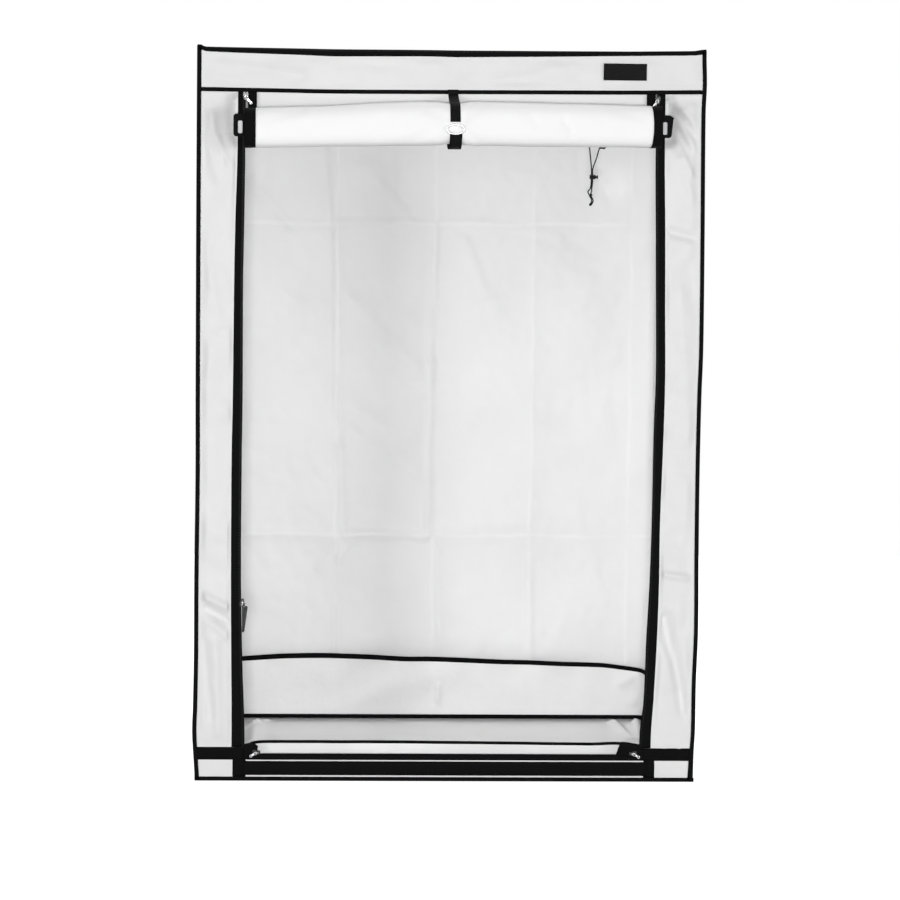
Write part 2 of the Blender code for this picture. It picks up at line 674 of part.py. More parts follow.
def roll_leaving_point():
    """Where the hanging door touches the roll, and the angle of that point about its axis."""
    start = Vector((web_y, header_low - WEB_FLAT))
    centre = Vector((roll_y, roll_z))
    to_centre = centre - start
    turn = math.asin(ROLL_RADIUS / to_centre.length)
    run = math.sqrt(to_centre.length ** 2 - ROLL_RADIUS ** 2)
    heading = math.atan2(to_centre.y, to_centre.x) + turn
    touch = start + run * Vector((math.cos(heading), math.sin(heading)))
    away = touch - centre
    return touch, math.atan2(away.y, away.x)


def roll_spiral():
    """(y, z) points of the rolled cloth about the roll's axis, from its outer end inwards."""
    touch, start_angle = roll_leaving_point()
    hanging = WEB_FLAT + (Vector((web_y, header_low - WEB_FLAT)) - touch).length
    rolled = header_low - SILL_ZIP_TOP - hanging
    turns = rolled / (math.pi * (ROLL_RADIUS + ROLL_CORE_RADIUS))
    pitch = (ROLL_RADIUS - ROLL_CORE_RADIUS) / turns
    points, turned_by = [], 0.0
    while turned_by <= turns * 2 * math.pi:
        radius = ROLL_RADIUS - pitch * turned_by / (2 * math.pi)
        angle = start_angle - turned_by
        points.append((radius * math.cos(angle), radius * math.sin(angle)))
        turned_by += ROLL_STEP / radius
    return points, pitch


def rolled_cloth(name, stations, finish):
    """The spiral carried across the tent through stations of (x, share of the roll's radius)."""
    path, _ = roll_spiral()
    first_x, first_share = stations[0]
    bm = bmesh.new()
    verts = [bm.verts.new((first_x, y * first_share, z * first_share)) for y, z in path]
    edges = [bm.edges.new(pair) for pair in zip(verts, verts[1:])]
    for (x, share), (next_x, next_share) in zip(stations, stations[1:]):
        made = bmesh.ops.extrude_edge_only(bm, edges=edges)["geom"]
        verts = [item for item in made if isinstance(item, bmesh.types.BMVert)]
        edges = [item for item in made if isinstance(item, bmesh.types.BMEdge)
                 and item.verts[0] in verts and item.verts[1] in verts]
        grow = next_share / share
        bmesh.ops.scale(bm, vec=(1, grow, grow), verts=verts)
        bmesh.ops.translate(bm, verts=verts, vec=(next_x - x, 0, 0))
    obj = bpy.data.objects.new(name, mesh_from_bmesh(name, bm))
    wall = obj.modifiers.new("Cloth", "SOLIDIFY")
    wall.thickness = ROLL_CLOTH
    wall.offset = 0.0
    wall.use_even_offset = True
    return finish_object(obj, finish, tent, (0, roll_y, roll_z))


def build_door():
    """The door: a short hanging web, the roll it is wound into, and its zip tape at both ends."""
    touch, _ = roll_leaving_point()
    slope = (touch - Vector((web_y, header_low - WEB_FLAT))).normalized()
    end = touch - slope * SEAT_GAP
    path = [(web_y, header_low - SEAT_GAP), (web_y, header_low - WEB_FLAT), (end.x, end.y)]
    cloth_strip("door_web", path, -door_x, door_x, TAPE, "white", (0, web_y, header_low))

    white = [(share * roll_white_x, radius) for share, radius
             in zip(ROLL_STATION_SHARES, ROLL_RADIUS_SHARES)]
    rolled_cloth("door_roll", white, "white")
    inner, outer = roll_white_x + SEAT_GAP, ROLL_WIDTH / 2
    rolled_cloth("door_edge_tape_left", [(-outer, ROLL_RADIUS_SHARES[0]), (-inner, ROLL_RADIUS_SHARES[0])],
                 "black")
    rolled_cloth("door_edge_tape_right", [(inner, ROLL_RADIUS_SHARES[-1]), (outer, ROLL_RADIUS_SHARES[-1])],
                 "black")
    _, pitch = roll_spiral()
    least = pitch * min(ROLL_RADIUS_SHARES) - ROLL_CLOTH
    print(f"least gap between two layers of the rolled door: {least * 1000:.2f} mm")

    for side, sign in (("left", -1), ("right", 1)):
        start = ROLL_WIDTH / 2 + SEAT_GAP
        outside = rounded_rectangle(start, start + LOOP_WIDTH, -LOOP_HEIGHT / 2, LOOP_HEIGHT / 2, LOOP_CORNER)
        hole = rounded_rectangle(start + LOOP_ROOT, start + LOOP_ROOT + LOOP_HOLE_WIDTH,
                                 -LOOP_HOLE_HEIGHT / 2, LOOP_HOLE_HEIGHT / 2, LOOP_HOLE_CORNER)
        outlines = [[(sign * x, z) for x, z in outline] for outline in (outside, hole)]
        plate("end_loop_" + side, outlines, LOOP_DEPTH, "black", location=(0, roll_y, roll_z),
              rotation=(math.pi / 2, 0, 0))


def strap_arc(radius, start, end):
    """(y, z) points round the roll from one angle to another, both measured from the front."""
    count = max(2, round(abs(end - start) / STRAP_STEP_ANGLE))
    points = []
    for step in range(count + 1):
        angle = start + (end - start) * step / count
        points.append((roll_y - radius * math.cos(angle), roll_z + radius * math.sin(angle)))
    return points


def build_straps():
    """Webbing round the middle of the roll, in two lengths joined by an oval ring."""
    waist = ROLL_RADIUS * ROLL_RADIUS_SHARES[2] + ROLL_CLOTH / 2
    hug = waist + STRAP_SLACK + STRAP_THICK / 2
    ring_z = roll_z - OVAL_DROP
    ring_top = ring_z + OVAL_HEIGHT / 2 + SEAT_GAP
    ring_bottom = ring_z - OVAL_HEIGHT / 2 - SEAT_GAP
    half = STRAP_WIDTH / 2

    front_y = -half_depth - STRAP_THICK / 2 - SEAT_GAP
    start = Vector((front_y, header_low))
    to_centre = Vector((roll_y, roll_z)) - start
    heading = math.atan2(-to_centre.y, -to_centre.x)
    spread = math.acos(hug / to_centre.length)
    touch_angle = math.pi - (heading + spread)
    sewn = [(front_y, header_low + BINDING_WIDTH), tuple(start)]
    arc = strap_arc(hug, touch_angle, math.asin((ring_top - roll_z) / hug))
    cloth_strip("strap_front", sewn + arc, -half, half, STRAP_THICK, "black", (0, front_y, header_low))

    back_y = -inner_y + SEAT_GAP + STRAP_THICK / 2
    wide = ROLL_RADIUS + ROLL_CLOTH / 2 + 2 * STRAP_THICK
    leave = Vector((back_y, header_low - WEB_FLAT))
    to_centre = Vector((roll_y, roll_z)) - leave
    heading = math.atan2(-to_centre.y, -to_centre.x)
    spread = math.acos(wide / to_centre.length)
    leave_angle = math.pi - (heading - spread) - 2 * math.pi
    arc_start = -math.asin((roll_z - ring_bottom) / hug)
    arc = strap_arc(hug, arc_start, -math.pi / 2)
    under = strap_arc(wide, -math.pi / 2 - STRAP_STEP_ANGLE, leave_angle)
    path = arc + under + [tuple(leave), (back_y, header_low + STRAP_LAP)]
    cloth_strip("strap_back", path, -half, half, STRAP_THICK, "black", (0, back_y, header_low))

    bend = OVAL_HEIGHT / 2 - RING_WIRE_RADIUS
    outline = oval(OVAL_WIDTH / 2 - RING_WIRE_RADIUS, bend, OVAL_STEPS)
    ring = wire("strap_ring", [(x, 0, z) for x, z in outline], RING_WIRE_RADIUS, 2, "steel", cyclic=True)
    ring.location = (0, roll_y - waist - SEAT_GAP - RING_WIRE_RADIUS, ring_z)


def build_tray():
    """The lift-out floor tray: an open box with a high back and a low front."""
    x, y = TRAY_WIDTH / 2, TRAY_DEPTH / 2
    base = CLOTH + SEAT_GAP
    top = base + TRAY_BACK_HEIGHT
    tray = box("floor_tray", (-x, -y, base), (x, y, top))
    combine(tray, cutter_box("tray_inside", (-x + TRAY_WALL, -y + TRAY_WALL, base + TRAY_WALL),
                             (x - TRAY_WALL, y - TRAY_WALL, 2 * top)))
    front_top = base + TRAY_FRONT_HEIGHT
    over = TRAY_WALL
    slope = [(-y - over, front_top), (-y + TRAY_WALL, front_top), (-y + TRAY_SLOPE_LENGTH, top + over),
             (-y - over, top + over)]
    wedge = plate("tray_front_cut", [slope], 2 * TRAY_WIDTH, "white", collection=cutters,
                  rotation=(math.pi / 2, 0, math.pi / 2))
    make_cutter(wedge)
    combine(tray, wedge)


def sleeve_profile(length):
    """(radius, height) points of a sleeve that hangs from its flange and is gathered at the hem."""
    points = [(DUCT_RADIUS + SLEEVE_FLANGE, 0.0)]
    for depth, taper in list(zip(SLEEVE_DEPTH_SHARES, SLEEVE_TAPER_SHARES))[1:]:
        radius = DUCT_RADIUS + (SLEEVE_HEM_RADIUS - DUCT_RADIUS) * taper
        points.append((radius, -depth * length))
    return points


def build_ducts_and_vent():
    """A duct sleeve inside the roof, one outside the right wall, and the left wall's vent."""
    turned("duct_sleeve_roof", sleeve_profile(ROOF_SLEEVE_LENGTH), DUCT_SIDES, "white",
           thickness=SLEEVE_CLOTH,
           location=(ROOF_SLEEVE_X, ROOF_SLEEVE_Y, inner_z - SEAT_GAP - SLEEVE_CLOTH / 2))
    turned("duct_sleeve_right", sleeve_profile(WALL_SLEEVE_LENGTH), DUCT_SIDES, "white",
           thickness=SLEEVE_CLOTH, rotation=(0, -math.pi / 2, 0),
           location=(face_x + SEAT_GAP + SLEEVE_CLOTH / 2, WALL_SLEEVE_Y, WALL_SLEEVE_Z))

    high = VENT_SILL + VENT_HEIGHT
    net_x = -inner_x + SEAT_GAP
    net_y = VENT_WIDTH / 2 + NET_MARGIN
    box("vent_net", (net_x, -net_y, VENT_SILL - NET_MARGIN), (net_x + TAPE, net_y, high + NET_MARGIN), "net")
    flap_y = VENT_WIDTH / 2 + VENT_MARGIN
    hinge = Vector((-face_x - SEAT_GAP - TAPE / 2, 0, high + VENT_MARGIN))
    flap = box("vent_flap", (-TAPE / 2, -flap_y, VENT_SILL - high - 2 * VENT_MARGIN), (TAPE / 2, flap_y, 0))
    flap.data.transform(Matrix.Translation(flap.location))
    flap.location = hinge


def build_drawcord():
    """The roof sleeve's drawcord: both strands pass the lock and meet in a loop below it."""
    cord_y = ROOF_SLEEVE_Y - math.sqrt(SLEEVE_HEM_RADIUS ** 2 - CORD_SPLAY ** 2)
    top = roof_hem_z - SEAT_GAP
    lead = top - CORD_LEAD
    pair_top, pair_bottom = LOCK_HEIGHT + PAIR_TOP, LOCK_HEIGHT - PAIR_BOTTOM
    strands = []
    for side in (-1, 1):
        exit_x = ROOF_SLEEVE_X + side * CORD_SPLAY
        pair_x = CORD_MIDDLE_X + side * CORD_PAIR / 2
        strand = [(exit_x, top), (exit_x, lead)]
        for share in CORD_SPREAD_SHARES:
            eased = share * share * (3 - 2 * share)
            strand.append((pair_x + (exit_x - pair_x) * eased, pair_top + (lead - pair_top) * share))
        for share in CORD_PAIR_SHARES:
            strand.append((pair_x, pair_top + (pair_bottom - pair_top) * share))
        strands.append(strand)
    bend = []
    for quarter in range(5):
        angle = quarter * math.pi / 4
        bend.append((CORD_MIDDLE_X - CORD_LOOP_RADIUS * math.cos(angle),
                     LOCK_HEIGHT - CORD_LOOP_DROP - CORD_LOOP_RADIUS * math.sin(angle)))
    route = [Vector((x, cord_y, z)) for x, z in strands[0] + bend + strands[1][::-1]]
    wire("drawcord", smooth_route(route, CORD_SPACING), CORD_RADIUS, 2, "black")

    hole_x = CORD_PAIR / 2 + CORD_RADIUS + LOCK_HOLE_CLEARANCE
    low_x = CORD_MIDDLE_X - hole_x - LOCK_END_WALL
    centre = (low_x, cord_y, LOCK_HEIGHT)
    along_x = (0, math.pi / 2, 0)
    lock = rod("cord_lock", LOCK_RADIUS, 0, LOCK_LENGTH, SMALL_SIDES, "plastic", location=centre,
               rotation=along_x)
    half_y = CORD_RADIUS + LOCK_HOLE_CLEARANCE
    slot = cutter_box("lock_slot", (CORD_MIDDLE_X - hole_x, cord_y - half_y, LOCK_HEIGHT - 2 * LOCK_RADIUS),
                      (CORD_MIDDLE_X + hole_x, cord_y + half_y, LOCK_HEIGHT + 2 * LOCK_RADIUS))
    combine(lock, slot)
    bore_radius = BUTTON_RADIUS + BUTTON_CLEARANCE
    bore_depth = BUTTON_REACH + BUTTON_TRAVEL + BUTTON_CLEARANCE
    bore = rod("lock_bore", bore_radius, LOCK_LENGTH - bore_depth, LOCK_LENGTH + LOCK_RADIUS, SMALL_SIDES,
               collection=cutters, location=centre, rotation=along_x)
    make_cutter(bore)
    combine(lock, bore)

    mouth = LOCK_LENGTH + SEAT_GAP + BUTTON_TRAVEL
    inner_end = LOCK_LENGTH - BUTTON_REACH
    profile = [(0, mouth + BUTTON_HEAD), (BUTTON_HEAD_RADIUS, mouth + BUTTON_HEAD),
               (BUTTON_HEAD_RADIUS, mouth), (BUTTON_RADIUS, mouth), (BUTTON_RADIUS, inner_end), (0, inner_end)]
    turned("cord_lock_button", profile, SMALL_SIDES, "plastic", location=centre, rotation=along_x)


clear_scene()
tent = new_collection("grow_tent")
cutters = new_collection("cutters")
build_frame()
build_walls()
build_bindings()
build_zip_tapes()
build_sliders()
build_door()
build_straps()
build_tray()
build_ducts_and_vent()
build_drawcord()
print(f"{len(tent.objects)} pieces")
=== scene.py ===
import math

import bmesh
import bpy
from mathutils import Matrix, Vector, noise


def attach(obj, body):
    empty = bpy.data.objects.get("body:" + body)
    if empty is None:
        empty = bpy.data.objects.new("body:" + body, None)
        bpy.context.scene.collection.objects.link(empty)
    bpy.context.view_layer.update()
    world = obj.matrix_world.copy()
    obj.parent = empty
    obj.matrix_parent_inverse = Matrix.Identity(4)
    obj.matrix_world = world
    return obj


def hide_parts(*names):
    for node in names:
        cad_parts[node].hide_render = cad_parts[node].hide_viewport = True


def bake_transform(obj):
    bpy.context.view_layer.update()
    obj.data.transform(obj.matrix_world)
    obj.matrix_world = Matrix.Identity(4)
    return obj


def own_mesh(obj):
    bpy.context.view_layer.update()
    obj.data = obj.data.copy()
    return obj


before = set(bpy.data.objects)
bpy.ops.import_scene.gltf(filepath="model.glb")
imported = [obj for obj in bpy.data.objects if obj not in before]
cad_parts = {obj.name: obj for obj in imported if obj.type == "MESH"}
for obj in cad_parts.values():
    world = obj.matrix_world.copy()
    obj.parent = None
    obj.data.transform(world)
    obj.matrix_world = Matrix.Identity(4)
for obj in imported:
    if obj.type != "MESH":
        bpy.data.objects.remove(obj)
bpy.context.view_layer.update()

# Metres, in the CAD frame: x to the right, y to the back, z up. The front is at y -0.46.
tent = {"halfWidth": 0.61, "halfDepth": 0.46, "height": 1.775, "cloth": 0.0015, "tape": 0.001,
        "faceX": 0.6087, "faceY": 0.4587, "inset": 0.0013}
words = {-1: "left", 1: "right"}


def ease(share):
    share = min(max(share, 0.0), 1.0)
    return share * share * (3 - 2 * share)


def mix(start, end, share):
    return start + (end - start) * share


def along(points, at):
    # a smooth line through pairs of (place, value), in rising places
    if at <= points[0][0]:
        return points[0][1]
    for index in range(len(points) - 1):
        (low, lowValue), (high, highValue) = points[index], points[index + 1]
        if at <= high:
            before = points[max(index - 1, 0)]
            after = points[min(index + 2, len(points) - 1)]
            span, share = high - low, (at - low) / (high - low)
            slopeIn = (highValue - before[1]) / (high - before[0]) * span
            slopeOut = (after[1] - lowValue) / (after[0] - low) * span
            return ((2 * share**3 - 3 * share**2 + 1) * lowValue + (share**3 - 2 * share**2 + share) * slopeIn
                    + (3 * share**2 - 2 * share**3) * highValue + (share**3 - share**2) * slopeOut)
    return points[-1][1]


def smoothPath(points, steps):
    points = [Vector(point) for point in points]
    path = []
    for index in range(len(points) - 1):
        a, b = points[max(index - 1, 0)], points[index]
        c, d = points[index + 1], points[min(index + 2, len(points) - 1)]
        for step in range(steps):
            s = step / steps
            path.append(0.5 * (2 * b + (c - a) * s + (2 * a - 5 * b + 4 * c - d) * s * s
                               + (3 * b - a - 3 * c + d) * s**3))
    return path + [points[-1]]


def pathLength(path):
    return sum((b - a).length for a, b in zip(path, path[1:]))


def ripple(first, second, size, seed):
    return noise.noise(Vector((first / size, second / size, seed)))


def creaseHeight(first, second, creases):
    # creases are (from, to, height, width): soft ridges along a line, which fade at their ends
    total = 0.0
    for start, end, height, width in creases:
        runX, runZ = end[0] - start[0], end[1] - start[1]
        length = math.hypot(runX, runZ)
        share = ((first - start[0]) * runX + (second - start[1]) * runZ) / length**2
        off = abs((first - start[0]) * runZ - (second - start[1]) * runX) / length
        beyond = max(-share, share - 1, 0) * length
        reach = math.hypot(off, beyond) / width
        if reach < 3:
            total += height * math.exp(-reach * reach)
    return total


# camera

cameraLook = {"place": (-0.386, -9.075, 1.635), "down": 5.45, "right": 2.59, "roll": 0.64,
              "lens": 143.16, "sensor": 36}


def addCamera():
    down, yaw, roll = (math.radians(cameraLook[key]) for key in ("down", "right", "roll"))
    forward = Vector((math.sin(yaw) * math.cos(down), math.cos(yaw) * math.cos(down), -math.sin(down)))
    level = Vector((math.cos(yaw), -math.sin(yaw), 0))
    side = math.cos(roll) * level + math.sin(roll) * level.cross(forward)
    turn = Matrix((side, side.cross(forward), -forward)).transposed().to_4x4()
    data = bpy.data.cameras.new("camera")
    data.lens, data.sensor_width = cameraLook["lens"], cameraLook["sensor"]
    camera = bpy.data.objects.new("camera", data)
    camera.matrix_world = Matrix.Translation(cameraLook["place"]) @ turn
    bpy.context.scene.collection.objects.link(camera)
    bpy.context.scene.camera = camera


addCamera()
bpy.context.scene.view_settings.view_transform = "Standard"
print("camera placed")


# materials: the effects that several of them use are node groups

def addNode(tree, kind, **values):
    node = tree.nodes.new(kind)
    for key, value in values.items():
        setattr(node, key, value)
    return node


def feed(tree, value, socket):
    # a socket takes a number, or what another node puts out
    if isinstance(value, (int, float)):
        socket.default_value = value
    else:
        tree.links.new(value, socket)


def calc(tree, operation, *values):
    node = addNode(tree, "ShaderNodeMath", operation=operation)
    for socket, value in zip(node.inputs, values):
        feed(tree, value, socket)
    return node.outputs[0]


def newGroup(name, outputs, **values):
    # takes a place and named numbers, and puts out numbers
    tree = bpy.data.node_groups.new(name, "ShaderNodeTree")
    tree.interface.new_socket("Vector", in_out="INPUT", socket_type="NodeSocketVector")
    for label, value in values.items():
        tree.interface.new_socket(label, in_out="INPUT", socket_type="NodeSocketFloat").default_value = value
    for label in outputs:
        tree.interface.new_socket(label, in_out="OUTPUT", socket_type="NodeSocketFloat")
    return tree, addNode(tree, "NodeGroupInput").outputs, addNode(tree, "NodeGroupOutput").inputs


def noiseOf(tree, vector, scale, detail=3.0, roughness=0.5):
    node = addNode(tree, "ShaderNodeTexNoise")
    for label, value in (("Vector", vector), ("Scale", scale), ("Detail", detail), ("Roughness", roughness)):
        feed(tree, value, node.inputs[label])
    return node.outputs[0]


def planeOf(tree, vector):
    parts = addNode(tree, "ShaderNodeSeparateXYZ")
    feed(tree, vector, parts.inputs[0])
    return parts.outputs[0], parts.outputs[1]


def buildWeave():
    # plain weave: one thread over and one under, at a spacing in metres
    tree, given, out = newGroup("plainWeave", ("Height", "Shade"), Thread=0.001)
    turn = calc(tree, "DIVIDE", math.pi, given["Thread"])
    parts = planeOf(tree, given["Vector"])
    warp, weft = (calc(tree, "SINE", calc(tree, "MULTIPLY", part, turn)) for part in parts)
    cross = calc(tree, "MULTIPLY", warp, weft)
    slub = noiseOf(tree, given["Vector"], calc(tree, "DIVIDE", 0.25, given["Thread"]), 2.0)
    feed(tree, calc(tree, "MULTIPLY_ADD", cross, 0.5, slub), out["Height"])
    feed(tree, calc(tree, "MULTIPLY_ADD", cross, 0.25, 0.5), out["Shade"])
    return tree


def buildHandling():
    # what folding and handling leave on cloth: faint blotches and fine, shallow wrinkles
    tree, given, out = newGroup("handlingMarks", ("Height", "Shade"), Size=0.2)
    rate = calc(tree, "DIVIDE", 1.0, given["Size"])
    broad = noiseOf(tree, given["Vector"], rate, 4.0, 0.55)
    fine = noiseOf(tree, given["Vector"], calc(tree, "MULTIPLY", rate, 5.0), 4.0, 0.6)
    ridge = calc(tree, "ABSOLUTE", calc(tree, "SUBTRACT", fine, 0.5))
    feed(tree, calc(tree, "SUBTRACT", broad, ridge), out["Height"])
    feed(tree, calc(tree, "MULTIPLY_ADD", fine, 0.35, calc(tree, "MULTIPLY", broad, 0.65)), out["Shade"])
    return tree


foldHighlightLines = {"sway": 0.022, "upright": (0.1783, 0.131), "level": (0.342, 0.4175)}


def buildFoldHighlightLines():
    # painted highlight: pale lines along the packing folds, 1 along a fold and 0 away from it
    tree, given, out = newGroup("foldHighlightLines", ("Line",), Width=0.005)
    look, vector = foldHighlightLines, given["Vector"]
    sway = calc(tree, "MULTIPLY", calc(tree, "SUBTRACT", noiseOf(tree, vector, 7.0), 0.5), look["sway"])
    lines = []
    for part, (shift, spacing) in zip(planeOf(tree, vector), (look["upright"], look["level"])):
        moved = calc(tree, "ADD", calc(tree, "ADD", part, shift), sway)
        lines.append(calc(tree, "PINGPONG", moved, spacing))
    near = calc(tree, "DIVIDE", calc(tree, "MINIMUM", *lines), given["Width"])
    line = calc(tree, "MAXIMUM", calc(tree, "SUBTRACT", 1.0, near), 0.0)
    highlightFade = calc(tree, "MULTIPLY", calc(tree, "SUBTRACT", noiseOf(tree, vector, 4.0), 0.38), 4.5)
    patches = calc(tree, "MINIMUM", calc(tree, "MAXIMUM", highlightFade, 0.0), 1.0)
    feed(tree, calc(tree, "MULTIPLY", line, patches), out["Line"])
    return tree


def buildRibs():
    # woven tape: slanting ribs across it, and a row of stitches beside each edge
    tree, given, out = newGroup("wovenRibs", ("Height", "Stitches"), Rib=0.0012, Width=0.01, Stitch=0.0035,
                                Inset=0.0016)
    run, side = planeOf(tree, given["Vector"])
    slant = calc(tree, "PINGPONG", side, calc(tree, "MULTIPLY", given["Rib"], 2.0))
    rate = calc(tree, "DIVIDE", 2 * math.pi, given["Rib"])
    ribs = calc(tree, "SINE", calc(tree, "MULTIPLY", calc(tree, "ADD", run, slant), rate))
    fromEdge = calc(tree, "MINIMUM", side, calc(tree, "SUBTRACT", given["Width"], side))
    off = calc(tree, "ABSOLUTE", calc(tree, "SUBTRACT", fromEdge, given["Inset"]))
    beat = calc(tree, "FRACT", calc(tree, "DIVIDE", run, given["Stitch"]))
    stitches = calc(tree, "MULTIPLY", calc(tree, "LESS_THAN", off, 0.0004),
                    calc(tree, "LESS_THAN", beat, 0.72))
    feed(tree, stitches, out["Stitches"])
    feed(tree, calc(tree, "MULTIPLY_ADD", ribs, 0.25, calc(tree, "MULTIPLY", stitches, 1.4)), out["Height"])
    return tree


def buildGrain():
    # the fine pebbled skin of paint and moulded plastic, with a little wear
    tree, given, out = newGroup("fineGrain", ("Height", "Wear"), Size=0.001)
    rate = calc(tree, "DIVIDE", 1.0, given["Size"])
    feed(tree, noiseOf(tree, given["Vector"], rate, 2.0), out["Height"])
    scuffs = noiseOf(tree, given["Vector"], calc(tree, "MULTIPLY", rate, 0.04), 6.0, 0.7)
    feed(tree, calc(tree, "MULTIPLY", calc(tree, "SUBTRACT", scuffs, 0.5), 2.0), out["Wear"])
    return tree


groups = {"weave": buildWeave(), "handling": buildHandling(), "ribs": buildRibs(), "grain": buildGrain(),
          "foldHighlights": buildFoldHighlightLines()}


def newMaterial(name, look):
    # the settings that are named as the shader's sockets are go straight into them
    material = bpy.data.materials.new(name)
    material.use_nodes = True
    shader = material.node_tree.nodes["Principled BSDF"]
    for key, value in look.items():
        if key in shader.inputs:
            shader.inputs[key].default_value = value
    return material, material.node_tree, shader


def useGroup(tree, name, vector, **values):
    node = addNode(tree, "ShaderNodeGroup", node_tree=groups[name])
    feed(tree, vector, node.inputs["Vector"])
    for key, value in values.items():
        node.inputs[key].default_value = value
    return node.outputs


def dress(tree, shader, look, shade, wear, heights):
    # each height is (value, strength, distance in metres), laid one on the other
    colour = addNode(tree, "ShaderNodeMix", data_type="RGBA")
    for socket, grey, blue in zip(colour.inputs[6:8], look["shade"], look.get("blue", look["shade"])):
        socket.default_value = (grey, grey, blue, 1)
    feed(tree, shade, colour.inputs[0])
    feed(tree, colour.outputs[2], shader.inputs["Base Color"])
    polish = addNode(tree, "ShaderNodeMapRange")
    feed(tree, wear, polish.inputs[0])
    polish.inputs[3].default_value, polish.inputs[4].default_value = look["roughness"]
    feed(tree, polish.outputs[0], shader.inputs["Roughness"])
    last = None
    for value, strength, distance in heights:
        bump = addNode(tree, "ShaderNodeBump")
        for label, given in (("Strength", strength), ("Distance", distance), ("Height", value)):
            feed(tree, given, bump.inputs[label])
        if last:
            feed(tree, last, bump.inputs["Normal"])
        last = bump.outputs[0]
    feed(tree, last, shader.inputs["Normal"])


def clothMaterial(name, look):
    material, tree, shader = newMaterial(name, look)
    place = addNode(tree, "ShaderNodeUVMap", uv_map="cloth").outputs[0]
    (thread, weaveShade, weaveStrength), (markSize, markStrength) = look["weave"], look["marks"]
    weave = useGroup(tree, "weave", place, Thread=thread)
    marks = useGroup(tree, "handling", place, Size=markSize)
    shade = calc(tree, "MULTIPLY_ADD", weave["Shade"], weaveShade, marks["Shade"])
    heights = [(marks["Height"], markStrength, 0.004), (weave["Height"], weaveStrength, 0.0002)]
    if "folds" in look:
        foldHighlight, foldWidth, foldStrength = look["folds"]
        folds = useGroup(tree, "foldHighlights", place, Width=foldWidth)
        # the fold lines lighten the colour as a painted highlight, and are also raised as a bump
        shade = calc(tree, "MULTIPLY_ADD", folds["Line"], foldHighlight, shade)
        heights.append((folds["Line"], foldStrength, 0.002))
    dress(tree, shader, look, shade, marks["Shade"], heights)
    return material


def tapeMaterial(name, look):
    material, tree, shader = newMaterial(name, look)
    place = addNode(tree, "ShaderNodeUVMap", uv_map="cloth").outputs[0]
    rib, width, stitch, inset = look["tape"]
    ribs = useGroup(tree, "ribs", place, Rib=rib, Width=width, Stitch=stitch, Inset=inset)
    marks = useGroup(tree, "handling", place, Size=0.06)
    shade = calc(tree, "MULTIPLY_ADD", ribs["Stitches"], look["stitchShade"], marks["Shade"])
    dress(tree, shader, look, shade, marks["Shade"],
          [(marks["Height"], 0.15, 0.002), (ribs["Height"], look["strength"], 0.0003)])
    return material


def grainMaterial(name, look):
    material, tree, shader = newMaterial(name, look)
    grain = useGroup(tree, "grain", addNode(tree, "ShaderNodeTexCoord").outputs["Object"], Size=look["grain"])
    dress(tree, shader, look, grain["Wear"], grain["Wear"], [(grain["Height"], look["strength"], 0.0002)])
    return material


# shade and blue run from dark to light; weave is (thread, shade, strength), marks (size, strength), folds
# (painted highlight, width, strength) and tape (rib, width, stitch, inset)
clothLooks = {
    "whiteCloth": {"slot": "white_cloth", "shade": (0.72, 0.80), "weave": (0.0011, 0.15, 0.25),
                   "marks": (0.22, 0.3), "roughness": (0.42, 0.58), "Specular IOR Level": 0.3},
    "wallCloth": {"slot": "white_cloth", "shade": (0.71, 0.82), "weave": (0.0011, 0.15, 0.25),
                  "marks": (0.25, 0.3), "folds": (0.6, 0.006, 0.5), "roughness": (0.42, 0.58),
                  "Specular IOR Level": 0.3},
    "whiteLining": {"shade": (0.885, 0.985), "weave": (0.0011, 0.1, 0.2), "marks": (0.3, 0.3),
                    "folds": (0.9, 0.007, 0.2), "roughness": (0.45, 0.6), "Specular IOR Level": 0.3},
    "rollCloth": {"slot": "white_cloth", "shade": (0.885, 0.925), "weave": (0.0011, 0.1, 0.2),
                  "marks": (0.2, 0.25), "roughness": (0.45, 0.6), "Specular IOR Level": 0.3},
    "trayCloth": {"slot": "tray_cloth", "shade": (0.73, 0.87), "weave": (0.0013, 0.12, 0.12),
                  "marks": (0.16, 0.25), "roughness": (0.34, 0.48), "Coat Weight": 0.08,
                  "Coat Roughness": 0.3},
    # the tray floor's copy of the tray cloth, painted lighter than on the walls: painted light for the lamps'
    # grazing light
    "trayBase": {"slot": "tray_cloth", "shade": (0.955, 0.985), "weave": (0.0013, 0.1, 0.06),
                 "marks": (0.16, 0.06), "roughness": (0.28, 0.38), "Coat Weight": 1.0, "Coat Roughness": 0.22,
                 "Coat IOR": 1.7},
    "sillBandCloth": {"slot": "black_tape", "shade": (0.0022, 0.005), "blue": (0.0023, 0.0053),
                      "weave": (0.001, 0.3, 0.4), "marks": (0.2, 0.2), "roughness": (0.55, 0.75),
                      "Specular IOR Level": 0.03},
    "blackNet": {"slot": "black_net", "shade": (0.008, 0.03), "weave": (0.0016, 0.6, 0.9),
                 "marks": (0.1, 0.1), "roughness": (0.5, 0.7)}}
